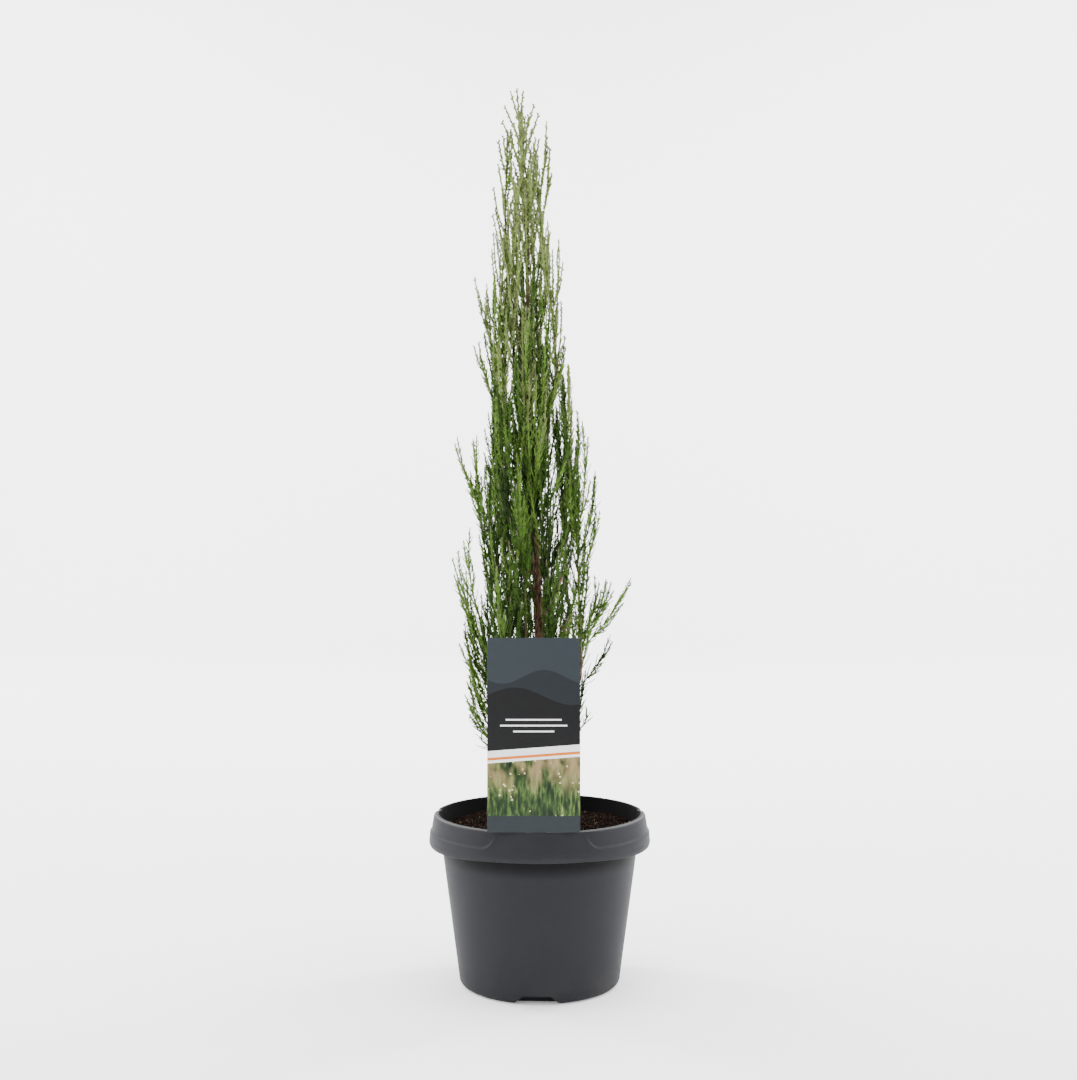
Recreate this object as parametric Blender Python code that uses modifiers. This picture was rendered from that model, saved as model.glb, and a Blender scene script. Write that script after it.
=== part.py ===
"""Rocky mountain juniper: a young slim column in a round nursery pot, with its plant label.

Metres, +Z up. The origin lies on the pot's axis, at the level that the pot stands on.
The tree is a leaning trunk, boughs that swing out and up from it, and masses of foliage:
each mass is one upright shoot with side twigs and toothed sprays of needles.
"""

import math
import random

import bmesh
import bpy
import numpy
from mathutils import Matrix, Vector

MM = 0.001
CLEARANCE = 0.3 * MM
WELD = 0.001 * MM

# Pot: a conical body under a rim whose skirt hangs outside it
POT_HEIGHT = 132.0 * MM
POT_DRAFT = 0.133
POT_WALL = 1.3 * MM
BODY_RADIUS_AT_FOOT = 62.15 * MM
RIM_RADIUS = 80.8 * MM
SHOULDER_RADIUS = 82.8 * MM
SHOULDER_HEIGHT = 130.0 * MM
TIER_RADIUS = 83.6 * MM
TIER_HEIGHT = 125.5 * MM
WAIST_RADIUS = 84.6 * MM
WAIST_HEIGHT = 120.0 * MM
LIP_RADIUS = 86.5 * MM
LIP_HEIGHT = 111.0 * MM
LIP_CORNER = 2.6 * MM
SKIRT_FOOT = 107.6 * MM
RIM_CORNER = 0.4 * MM
RIM_THICKNESS = 2.1 * MM
FOOT_CORNER = 5.0 * MM
FOOT_RING_WIDTH = 7.0 * MM
FOOT_RING_SLOPE = 1.0 * MM
FLOOR_UNDERSIDE = 6.2 * MM
CORNER_STEPS = 3
TURNED_STEPS = 36

# Drainage: notches through the foot ring and holes through the floor
NOTCH_COUNT = 3
NOTCH_TOP_WIDTH = 21.0 * MM
NOTCH_FOOT_WIDTH = 33.0 * MM
NOTCH_HEIGHT = 5.3 * MM
NOTCH_CORNER = 1.5 * MM
NOTCH_DEPTH = 21.0 * MM
NOTCH_AZIMUTH = -92.0
DRAIN_COUNT = 6
DRAIN_RADIUS = 4.0 * MM
DRAIN_CIRCLE = 38.0 * MM
DRAIN_SIDES = 10

# Compost in the pot
SOIL_TOP = 121.5 * MM
SOIL_EDGE_DROP = 1.2 * MM
SOIL_EDGE_WIDTH = 6.0 * MM

# Plant label: a card that stands on the rim, with a tongue through a slot into the hollow rim
CARD_WIDTH = 67.8 * MM
CARD_HEIGHT = 141.7 * MM
CARD_THICKNESS = 0.8 * MM
CARD_CORNER = 1.2 * MM
CARD_CENTRE_X = -4.4 * MM
CARD_PLANE_Y = -80.6 * MM
TONGUE_WIDTH = 14.0 * MM
TONGUE_END_WIDTH = 10.0 * MM
TONGUE_LENGTH = 15.0 * MM
TONGUE_TAPER_LENGTH = 4.5 * MM
TONGUE_OFFSET = 1.6 * MM
SLOT_RISE = 4.0 * MM

# Trunk
TREE_TOP = 700.0 * MM
TRUNK_END = 632.0 * MM
TRUNK_RADIUS = 4.5 * MM
TRUNK_TAPER = 0.76
FLARE_RADIUS = 2.6 * MM
FLARE_HEIGHT = 10.0 * MM
TRUNK_LEAN = 18.5 * MM
TRUNK_SWAY = 1.3 * MM
TRUNK_SIDES = 8
TRUNK_STATIONS = 20
FOOT_CROWDING = 1.5

# Half-width of the crown around the trunk's axis, by height
CROWN_PROFILE = (
    (0.150, 0.034), (0.200, 0.038), (0.290, 0.044), (0.340, 0.042), (0.380, 0.039), (0.440, 0.035),
    (0.500, 0.031), (0.560, 0.024), (0.600, 0.018), (0.670, 0.014), (0.700, 0.003),
)

# Boughs and shoots
GOLDEN_ANGLE = 137.5
FIRST_AZIMUTH = 187.0
WIDTH_START = 0.4
TOP_START = 0.1
BOUGH_SIDES = 5
BOUGH_STATIONS = 4
BOUGH_SHARE = 0.78
BOUGH_TIP_RADIUS = 1.25 * MM
BOUGH_THICKENING = 0.022
SHOOT_ROOT_RADIUS = 1.15 * MM
SHOOT_TIP_RADIUS = 0.45 * MM
SHOOT_STATIONS = 6
SHOOT_WANDER = 1.6 * MM
SHOOT_BULGE = 1.2
LEADER_STATIONS = 3
SPRAY_REACH = 3.0 * MM
CROWN_SHIFT = 7.0 * MM
BOUGH_GAP = 0.36 * MM

# Each tier: name, number of limbs, height of its first and last root, height of its first and
# last tip, share of the crown's half-width held by its inner and outer limbs, and the rise over
# which a limb swings out. A tier with boughs has a bare limb under each shoot.
TIERS = (
    ("low", 8, 0.138, 0.172, 0.268, 0.345, 0.72, 1.10, 0.050, True),
    ("lower", 6, 0.188, 0.245, 0.375, 0.440, 0.50, 1.08, 0.055, True),
    ("middle", 6, 0.268, 0.345, 0.455, 0.545, 0.50, 1.05, 0.060, False),
    ("upper", 5, 0.372, 0.470, 0.575, 0.640, 0.50, 1.00, 0.060, False),
    ("head", 4, 0.500, 0.580, 0.655, 0.690, 0.50, 1.00, 0.050, False),
)

# Long side whips that stand out of the column: the limb that carries it, the height at which it
# leaves, and the azimuth, distance from the trunk's axis and height of its tip
WHIPS = (
    ("low_1", 0.262, 184.0, 0.061, 0.334),
    ("low_5", 0.258, 10.0, 0.074, 0.312),
    ("low_5", 0.270, 24.0, 0.064, 0.309),
    ("low_5", 0.228, 2.0, 0.055, 0.268),
    ("low_6", 0.225, 170.0, 0.058, 0.290),
    ("low_6", 0.200, 166.0, 0.050, 0.228),
    ("lower_2", 0.330, 352.0, 0.049, 0.396),
    ("lower_6", 0.355, 178.0, 0.058, 0.423),
    ("middle_4", 0.385, 8.0, 0.037, 0.444),
    ("upper_2", 0.488, 188.0, 0.041, 0.547),
    ("upper_3", 0.520, 340.0, 0.027, 0.576),
    ("head_1", 0.612, 5.0, 0.021, 0.671),
    ("head_2", 0.556, 176.0, 0.025, 0.598),
)

# Twigs that leave a shoot at its stations: every second station has one, where there is room
STATION_STEP = 30.0 * MM
BARE_OVER_BOUGH = 6.0 * MM
BARE_OVER_TRUNK = 14.0 * MM
BARE_LEADER = 5.0 * MM
UPRIGHT = Vector((0.0, 0.0, 0.9))
AZIMUTH_SCATTER = 20.0
TWIG_ROOM = 40.0 * MM
TWIG_ROOT_RADIUS = 0.85 * MM
TWIG_TIP_RADIUS = 0.4 * MM
TWIG_LEAN = 19.0
TWIG_STRAIGHTENING = 0.9
TWIG_ELBOW = 0.42
TWIG_SHARE = 0.8
TWIG_SIDES = 3
WHIP_STATIONS = 3
WHIP_BULGE = 0.12
WHIP_WIDTH = 7.0 * MM

# Sprays of needles, each a toothed blade that thins towards the shoot's tip
SPRAY_SHORTEST = 50.0 * MM
SPRAY_LONGEST = 60.0 * MM
SPRAY_FADE = 0.45
SPRAY_OVERHANG = 16.0 * MM
SPRAY_WIDTH = 10.0 * MM
SPRAY_CROWN_SHARE = 0.30
SPRAY_THICKNESS = 0.9 * MM
SPRAY_CORE = 0.3
SPRAY_LEAN = 9.0
TIP_SPRAY_SHARE = 0.6
TIP_SPRAY_NARROWING = 0.8
END_SPRAY_LENGTH = 13.0 * MM
END_SPRAY_NARROWING = 0.45
TOOTH_PITCH = 16.0 * MM
TOOTH_FORWARD = 1.45
TOOTH_FADE = 0.35
ROOT_SUNK = 1.2 * MM

# Room between neighbouring masses and limbs, and how a piece that doesn't fit is tried again
SPACE_MARGIN = 0.25 * MM
LIMB_MARGIN = 0.6 * MM
SAMPLE_STEP = 3.0 * MM
TRIES = 9
TRY_SHRINK = 0.06
TRY_STRAIGHTEN = 1.5
TRY_TURN = 23.0
SEED = 41

COLOURS = {
    "pot_plastic": ((0.070, 0.072, 0.078), 0.42),
    "compost": ((0.020, 0.012, 0.008), 0.95),
    "label_card": ((0.085, 0.105, 0.125), 0.35),
    "bark": ((0.170, 0.070, 0.045), 0.85),
    "foliage": ((0.075, 0.150, 0.030), 0.60),
}


def clear_scene():
    """Remove every object, so that the script starts from an empty scene."""
    for found in list(bpy.data.objects):
        bpy.data.objects.remove(found)


def new_collection(name):
    """Return a new collection linked into the scene."""
    made = bpy.data.collections.new(name)
    bpy.context.scene.collection.children.link(made)
    return made


def finish_material(name):
    """Return the Principled material of one finish from COLOURS, made once."""
    if name in bpy.data.materials:
        return bpy.data.materials[name]
    colour, roughness = COLOURS[name]
    made = bpy.data.materials.new(name)
    made.use_nodes = True
    shader = made.node_tree.nodes["Principled BSDF"]
    shader.inputs["Base Color"].default_value = (*colour, 1.0)
    shader.inputs["Roughness"].default_value = roughness
    shader.inputs["Metallic"].default_value = 0.0
    return made


def mesh_object(name, mesh, home, finish=None):
    """Link a new object for the mesh into a collection."""
    made = bpy.data.objects.new(name, mesh)
    home.objects.link(made)
    if finish:
        mesh.materials.clear()
        mesh.materials.append(finish_material(finish))
    return made


def smooth(item, degrees=35.0):
    """Shade a piece smooth except across its sharp edges."""
    item.data.shade_smooth()
    item.data.set_sharp_from_angle(angle=math.radians(degrees))


def hide_guide(item):
    """Mark an object as a cutter or a guide."""
    item.hide_render = True
    item.display_type = "WIRE"


def polar(radius, degrees, height=0.0):
    """Point at a distance and azimuth round the vertical axis."""
    angle = math.radians(degrees)
    return Vector((radius * math.cos(angle), radius * math.sin(angle), height))


def arc(centre, radius, start, end, steps):
    """Points of a profile on an arc, angles in degrees."""
    points = []
    for step in range(steps + 1):
        angle = math.radians(start + (end - start) * step / steps)
        points.append((centre[0] + radius * math.cos(angle), centre[1] + radius * math.sin(angle)))
    return points


def turned(name, profile, home, finish):
    """Solid of revolution: the profile's pairs are radius and height, down the outer side."""
    mesh = bpy.data.meshes.new(name)
    points = [(radius, 0.0, height) for radius, height in profile]
    edges = [(index, index + 1) for index in range(len(points) - 1)]
    mesh.from_pydata(points, edges, [])
    made = mesh_object(name, mesh, home, finish)
    screw = made.modifiers.new("turn", "SCREW")
    screw.axis = "Z"
    screw.steps = TURNED_STEPS
    screw.render_steps = TURNED_STEPS
    screw.use_merge_vertices = True
    screw.merge_threshold = 0.01 * MM
    screw.use_smooth_shade = True
    return made


def cut(item, cutter):
    """Cut an object with a closed cutter."""
    hide_guide(cutter)
    step = item.modifiers.new("cut_" + cutter.name, "BOOLEAN")
    step.operation = "DIFFERENCE"
    step.object = cutter


def body_radius(height):
    """Outer radius of the pot's conical body at a height."""
    return BODY_RADIUS_AT_FOOT + POT_DRAFT * height


def pot_profile():
    """Half section of the pot, from the middle of its floor over the rim to its underside."""
    floor_top = FLOOR_UNDERSIDE + POT_WALL
    groove_top = POT_HEIGHT - RIM_THICKNESS
    inner = [
        (0.0, floor_top),
        (body_radius(floor_top) - POT_WALL, floor_top),
        (body_radius(POT_HEIGHT) - POT_WALL, POT_HEIGHT),
    ]
    skirt = [
        (RIM_RADIUS - RIM_CORNER, POT_HEIGHT),
        (RIM_RADIUS + RIM_CORNER, POT_HEIGHT - RIM_CORNER),
        (SHOULDER_RADIUS, SHOULDER_HEIGHT),
        (TIER_RADIUS, TIER_HEIGHT),
        (WAIST_RADIUS, WAIST_HEIGHT),
        (LIP_RADIUS - RIM_CORNER, LIP_HEIGHT + LIP_CORNER),
        (LIP_RADIUS, LIP_HEIGHT),
        (LIP_RADIUS - 2.0 * RIM_CORNER, SKIRT_FOOT + RIM_CORNER),
        (LIP_RADIUS - 4.0 * RIM_CORNER, SKIRT_FOOT),
        (LIP_RADIUS - RIM_THICKNESS, LIP_HEIGHT),
        (WAIST_RADIUS - RIM_THICKNESS, WAIST_HEIGHT),
        (SHOULDER_RADIUS - POT_WALL, groove_top),
        (body_radius(groove_top), groove_top),
    ]
    corner_centre = (body_radius(FOOT_CORNER) - FOOT_CORNER, FOOT_CORNER)
    foot = arc(corner_centre, FOOT_CORNER, 0.0, -90.0, CORNER_STEPS)
    ring_inside = foot[-1][0] - FOOT_RING_WIDTH
    under = [
        (ring_inside, 0.0),
        (ring_inside - FOOT_RING_SLOPE, FLOOR_UNDERSIDE),
        (0.0, FLOOR_UNDERSIDE),
    ]
    return inner + skirt + foot + under


def notch_cutter(azimuth, home):
    """Wedge that cuts one drainage notch out of the foot ring, wider at the ground."""
    below = -NOTCH_CORNER
    right = [
        (0.5 * NOTCH_FOOT_WIDTH, below),
        (0.5 * NOTCH_TOP_WIDTH + NOTCH_CORNER, NOTCH_HEIGHT - NOTCH_CORNER),
        (0.5 * NOTCH_TOP_WIDTH, NOTCH_HEIGHT),
    ]
    left = [(-across, along) for across, along in reversed(right)]
    mesh = plate_mesh(right + left, NOTCH_DEPTH)
    turn = Matrix.Rotation(math.radians(azimuth + 90.0), 4, "Z")
    place = Matrix.Translation(polar(BODY_RADIUS_AT_FOOT, azimuth))
    mesh.transform(place @ turn @ Matrix.Rotation(math.radians(90.0), 4, "X"))
    return mesh_object("notch_cutter", mesh, home)


def drain_cutter(azimuth, home):
    """Cylinder that cuts one drainage hole through the pot's floor."""
    made = bmesh.new()
    bmesh.ops.create_cone(
        made, cap_ends=True, segments=DRAIN_SIDES, radius1=DRAIN_RADIUS, radius2=DRAIN_RADIUS,
        depth=4.0 * POT_WALL, matrix=Matrix.Translation(polar(DRAIN_CIRCLE, azimuth, FLOOR_UNDERSIDE)),
    )
    mesh = bpy.data.meshes.new("drain_cutter")
    made.to_mesh(mesh)
    made.free()
    return mesh_object("drain_cutter", mesh, home)


def build_pot(home, cutters):
    """The nursery pot, with its drainage notches and holes and the label's slot."""
    pot = turned("pot", pot_profile(), home, "pot_plastic")
    for index in range(NOTCH_COUNT):
        cut(pot, notch_cutter(NOTCH_AZIMUTH + index * 360.0 / NOTCH_COUNT, cutters))
    for index in range(DRAIN_COUNT):
        cut(pot, drain_cutter((index + 0.5) * 360.0 / DRAIN_COUNT, cutters))
    slot = plate_mesh(tongue_outline(CLEARANCE, SLOT_RISE), CARD_THICKNESS + 2.0 * CLEARANCE)
    slot.transform(label_place())
    cut(pot, mesh_object("slot_cutter", slot, cutters))
    return pot


def soil_profile():
    """Half section of the compost, a clearance inside the pot's wall."""
    foot = FLOOR_UNDERSIDE + POT_WALL + CLEARANCE
    edge = SOIL_TOP - SOIL_EDGE_DROP
    wall_gap = POT_WALL + 1.5 * CLEARANCE
    return [
        (0.0, SOIL_TOP),
        (body_radius(SOIL_TOP) - wall_gap - SOIL_EDGE_WIDTH, SOIL_TOP),
        (body_radius(edge) - wall_gap, edge),
        (body_radius(foot) - wall_gap, foot),
        (0.0, foot),
    ]


def tongue_outline(grow=0.0, rise=0.0):
    """Outline of the label's tongue from the card's foot down, grown all round for a cutter."""
    top = POT_HEIGHT + CLEARANCE + rise
    end = POT_HEIGHT - TONGUE_LENGTH - grow
    shoulder = end + TONGUE_TAPER_LENGTH
    half = 0.5 * TONGUE_WIDTH + grow
    half_end = 0.5 * TONGUE_END_WIDTH + grow
    right = [(half, top), (half, shoulder), (half_end, end)]
    left = [(-across, along) for across, along in reversed(right)]
    return [(across + TONGUE_OFFSET, along) for across, along in right + left]


def card_outline():
    """Outline of the label from the front: the card with its tongue."""
    half = 0.5 * CARD_WIDTH - CARD_CORNER
    foot = POT_HEIGHT + CLEARANCE + CARD_CORNER
    top = POT_HEIGHT + CLEARANCE + CARD_HEIGHT - CARD_CORNER
    outline = tongue_outline()
    start = 270.0
    for centre in ((-half, foot), (-half, top), (half, top), (half, foot)):
        outline += arc(centre, CARD_CORNER, start, start - 90.0, CORNER_STEPS)
        start -= 90.0
    return outline


def plate_mesh(outline, thickness):
    """Flat plate in the XY plane with the given outline, centred on the plane."""
    curve = bpy.data.curves.new("outline", "CURVE")
    curve.dimensions = "2D"
    curve.fill_mode = "BOTH"
    curve.extrude = 0.5 * thickness
    spline = curve.splines.new("POLY")
    spline.points.add(len(outline) - 1)
    for point, (across, along) in zip(spline.points, outline):
        point.co = (across, along, 0.0, 1.0)
    spline.use_cyclic_u = True
    return mesh_of_curve(curve)


def mesh_of_curve(curve):
    """Turn curve data into one closed mesh with its caps welded, and remove the curve."""
    holder = bpy.data.objects.new("curve", curve)
    bpy.context.scene.collection.objects.link(holder)
    evaluated = holder.evaluated_get(bpy.context.evaluated_depsgraph_get())
    mesh = bpy.data.meshes.new_from_object(evaluated)
    bpy.data.objects.remove(holder)
    bpy.data.curves.remove(curve)
    made = bmesh.new()
    made.from_mesh(mesh)
    bmesh.ops.remove_doubles(made, verts=made.verts, dist=WELD)
    bmesh.ops.recalc_face_normals(made, faces=made.faces)
    made.to_mesh(mesh)
    made.free()
    return mesh


def build_soil(home):
    """Compost that fills the pot."""
    return turned("soil", soil_profile(), home, "compost")


def label_place():
    """Placement that stands the label upright on the front of the rim."""
    upright = Matrix.Rotation(math.radians(90.0), 4, "X")
    return Matrix.Translation((CARD_CENTRE_X, CARD_PLANE_Y, 0.0)) @ upright


def build_label(home):
    """The plant label, one thin plastic plate."""
    mesh = plate_mesh(card_outline(), CARD_THICKNESS)
    mesh.transform(label_place())
    return mesh_object("label", mesh, home, "label_card")


def tree_share(height):
    """Share of the tree's height above the compost."""
    return (height - SOIL_TOP) / (TREE_TOP - SOIL_TOP)


def leader(height):
    """Point on the trunk's axis: it leans to the left as it climbs, with a slight sway."""
    climb = tree_share(height)
    across = -TRUNK_LEAN * climb ** 2 + TRUNK_SWAY * math.sin(9.0 * climb)
    return Vector((across, TRUNK_SWAY * math.sin(6.0 * climb), height))


def trunk_radius(height):
    """Radius of the trunk at a height, with the flare at the ground."""
    flare = FLARE_RADIUS * math.exp((SOIL_TOP - height) / FLARE_HEIGHT)
    return TRUNK_RADIUS * max(1.0 - tree_share(height), 0.0) ** TRUNK_TAPER + flare


def crown_radius(height):
    """Half-width of the crown at a height."""
    heights, widths = zip(*CROWN_PROFILE)
    return float(numpy.interp(height, heights, widths))


def ring_curve(sides):
    """Closed regular outline of unit radius, the section of a tube."""
    name = "section_%d" % sides
    if name in bpy.data.objects:
        return bpy.data.objects[name]
    curve = bpy.data.curves.new(name, "CURVE")
    curve.dimensions = "2D"
    spline = curve.splines.new("POLY")
    spline.points.add(sides - 1)
    for index, point in enumerate(spline.points):
        place = polar(1.0, index * 360.0 / sides)
        point.co = (place.x, place.y, 0.0, 1.0)
    spline.use_cyclic_u = True
    section = bpy.data.objects.new(name, curve)
    bpy.data.collections["cutters"].objects.link(section)
    hide_guide(section)
    return section


def tube_mesh(path, radii, sides):
    """Tapering tube along a path of points, with closed ends."""
    curve = bpy.data.curves.new("tube", "CURVE")
    curve.dimensions = "3D"
    curve.bevel_mode = "OBJECT"
    curve.bevel_object = ring_curve(sides)
    curve.use_fill_caps = True
    spline = curve.splines.new("POLY")
    spline.points.add(len(path) - 1)
    for point, place, radius in zip(spline.points, path, radii):
        point.co = (*place, 1.0)
        point.radius = radius
    return mesh_of_curve(curve)


def trunk_mesh(grow=0.0):
    """The trunk from its flat cut at the compost to its tip, grown all round for a cutter."""
    foot = SOIL_TOP + CLEARANCE
    path = []
    radii = []
    for station in range(TRUNK_STATIONS + 1):
        share = (station / TRUNK_STATIONS) ** FOOT_CROWDING
        height = foot + share * (TRUNK_END - foot)
        path.append(leader(height))
        radii.append(trunk_radius(height) + grow)
    path[0] = Vector((path[1].x, path[1].y, foot))
    return tube_mesh(path, radii, TRUNK_SIDES)


class Limb:
    """One limb: where it leaves the trunk, how it swings out, and where its tip is."""

    def __init__(self, name, azimuth, root, top, hold, tip, swing, has_bough):
        self.name = name
        self.azimuth = azimuth
        self.root = root
        self.top = top
        self.hold = hold
        self.tip = tip
        self.swing = swing
        self.has_bough = has_bough
        self.bare = BARE_OVER_BOUGH if has_bough else BARE_OVER_TRUNK

    def point(self, height):
        """Point of the limb's axis at a height."""
        outward = min((height - self.root) / self.swing, 1.0)
        level = self.root + self.swing
        climb = max(height - level, 0.0) / (self.top - level)
        spread = self.hold + (self.tip - self.hold) * climb ** SHOOT_BULGE
        distance = spread * (1.0 - (1.0 - outward) ** 2)
        wander = SHOOT_WANDER * outward * math.sin(5.0 * climb + 0.1 * self.azimuth)
        drift = CROWN_SHIFT * outward * (1.0 - tree_share(height) ** 3)
        along = leader(height) + polar(distance, self.azimuth) + polar(wander, self.azimuth + 90.0)
        return along - Vector((drift, 0.0, 0.0))

    def bough_end(self):
        """Height at which the bare bough ends and the shoot begins."""
        return self.root + BOUGH_SHARE * self.swing if self.has_bough else self.root

    def path(self, low, high, stations):
        """Points of the axis between two heights."""
        return [self.point(low + (high - low) * step / stations) for step in range(stations + 1)]

    def bough_path(self):
        """Axis of the bare bough, from inside the trunk to its end."""
        return self.path(self.root, self.bough_end(), BOUGH_STATIONS)

    def shoot_path(self):
        """Axis of the shoot, from its bough's end or from inside the trunk to its tip."""
        points = self.path(self.bough_end(), self.top, SHOOT_STATIONS)
        if self.has_bough:
            before = self.bough_path()[-2]
            heading = (points[0] - before).normalized()
            points[0] = points[0] + heading * BOUGH_GAP
            points.insert(1, points[0] + heading * 3.0 * BOUGH_TIP_RADIUS)
        return points


def scattered(start, index):
    """Share from 0 to 1 that scatters evenly as the index runs on, by the golden ratio."""
    return (start + 0.618 * index) % 1.0


def plan_limbs():
    """Every limb of the tree, tier by tier up the trunk."""
    limbs = []
    for name, count, root_low, root_high, tip_low, tip_high, inner, outer, swing, bare in TIERS:
        for index in range(count):
            share = index / (count - 1)
            turn = len(limbs)
            azimuth = FIRST_AZIMUTH + GOLDEN_ANGLE * turn
            root = root_low + (root_high - root_low) * share
            top = tip_low + (tip_high - tip_low) * scattered(TOP_START, 2 * turn)
            width = inner + (outer - inner) * scattered(WIDTH_START, turn)
            hold = width * (crown_radius(root + swing) - SPRAY_REACH)
            tip = width * (crown_radius(top) - 0.5 * SPRAY_REACH)
            limbs.append(Limb("%s_%d" % (name, index + 1), azimuth, root, top, hold, tip, swing, bare))
    return limbs


class LeadingShoot:
    """The green shoot that carries the trunk's line on to the tree's tip."""

    name = "leader"
    has_bough = False
    bare = BARE_LEADER

    def shoot_path(self):
        """Axis from just above the trunk's end to the tip."""
        foot = TRUNK_END + CLEARANCE
        rise = (TREE_TOP - foot) / LEADER_STATIONS
        return [leader(foot + rise * step) for step in range(LEADER_STATIONS + 1)]


def segment_distances(points, starts, ends):
    """Distance from each point to each straight segment, as a table."""
    along = ends - starts
    offset = points[:, None, :] - starts[None, :, :]
    share = (offset * along).sum(axis=2) / numpy.maximum((along * along).sum(axis=1), 1e-12)
    share = numpy.clip(share, 0.0, 1.0)
    nearest = starts[None, :, :] + share[:, :, None] * along[None, :, :]
    return numpy.linalg.norm(points[:, None, :] - nearest, axis=2)


class Space:
    """The room that each mass keeps to: nearer to its own shoot than to any other."""

    def __init__(self, shoots):
        self.shoots = [self.segments(path) for path in shoots]
        self.limbs = []

    @staticmethod
    def segments(path):
        """Start and end points of a path's segments."""
        points = numpy.array([tuple(point) for point in path])
        return points[:-1], points[1:]

    def add_limb(self, path, radii):
        """Keep every mass clear of a bare limb."""
        starts, ends = self.segments(path)
        self.limbs.append((starts, ends, max(radii)))

    def holds(self, index, samples, thickness):
        """Whether all sample points lie in the space of one shoot and clear of the bare limbs."""
        points = numpy.array([tuple(point) for point in samples])
        own = segment_distances(points, *self.shoots[index]).min(axis=1)
        margin = 2.0 * (thickness + SPACE_MARGIN)
        for other, shoot in enumerate(self.shoots):
            if other != index:
                away = segment_distances(points, *shoot).min(axis=1)
                if (away < own + margin).any():
                    return False
        for starts, ends, radius in self.limbs:
            if (segment_distances(points, starts, ends).min(axis=1) < radius + thickness + LIMB_MARGIN).any():
                return False
        trunk = numpy.array([tuple(leader(height)) for height in points[:, 2]])
        clear = numpy.array([trunk_radius(height) for height in points[:, 2]])
        gap = numpy.linalg.norm(points - trunk, axis=1) - clear
        below_end = points[:, 2] < TRUNK_END + 2.0 * LIMB_MARGIN
        return not (below_end & (gap < thickness + LIMB_MARGIN)).any()


def spray_outline(length, width, teeth):
    """Outline of a toothed blade: a tapering core with forward-pointing teeth on both sides."""
    pitch = length / (teeth + 0.9)
    sides = []
    for start, side in ((0.15, 1.0), (0.6, -1.0)):
        points = [(side * 0.5 * SPRAY_CORE * width, 0.0)]
        for tooth in range(teeth):
            low = (start + tooth) * pitch
            fade = 1.0 - TOOTH_FADE * tooth / teeth
            core = 0.5 * SPRAY_CORE * width * fade
            tip_along = min(low + TOOTH_FORWARD * pitch, 0.97 * length)
            points.append((side * 0.5 * width * fade, tip_along))
            points.append((side * core, low + pitch))
        sides.append(points)
    return sides[0] + [(0.0, length)] + sides[1][::-1]


def spray_samples(outline):
    """Points spread over a blade, close enough together that no twig fits between them."""
    corners = [Vector((across, along, 0.0)) for across, along in outline]
    samples = []
    for start, end in zip(corners, corners[1:] + corners[:1]):
        middle = Vector((0.0, start.y, 0.0))
        count = max(int((end - start).length / SAMPLE_STEP), 1)
        samples += [start.lerp(end, step / count) for step in range(count)]
        samples += [middle, middle.lerp(start, 0.5)]
    return samples


def frame_along(root, heading, roll):
    """Placement whose Y axis runs along a heading, turned about it by a roll in degrees."""
    side = heading.orthogonal().normalized()
    side = Matrix.Rotation(math.radians(roll), 3, heading) @ side
    face = side.cross(heading)
    turn = Matrix((side, heading, face)).transposed().to_4x4()
    return Matrix.Translation(root) @ turn


def lean_from(heading, azimuth, degrees):
    """Heading leant away from another one, towards an azimuth round it."""
    side = Matrix.Rotation(math.radians(azimuth), 3, heading) @ heading.orthogonal().normalized()
    return (heading * math.cos(math.radians(degrees)) + side * math.sin(math.radians(degrees))).normalized()


def point_on(path, distance):
    """Point and heading at a distance along a path."""
    for start, end in zip(path, path[1:]):
        run = (end - start).length
        if distance <= run or end is path[-1]:
            return start + (end - start) * min(distance / run, 1.0), (end - start).normalized()
        distance -= run


def point_at_height(path, height):
    """Point at a height on a path that climbs all the way."""
    heights = [point.z for point in path]
    return Vector([float(numpy.interp(height, heights, line)) for line in zip(*path)])


def tapered(root, tip, steps):
    """Radii that fall evenly from a root to a tip."""
    return [root + (tip - root) * step / steps for step in range(steps + 1)]


def path_length(path):
    """Length of a path of points."""
    return sum((end - start).length for start, end in zip(path, path[1:]))


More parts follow.
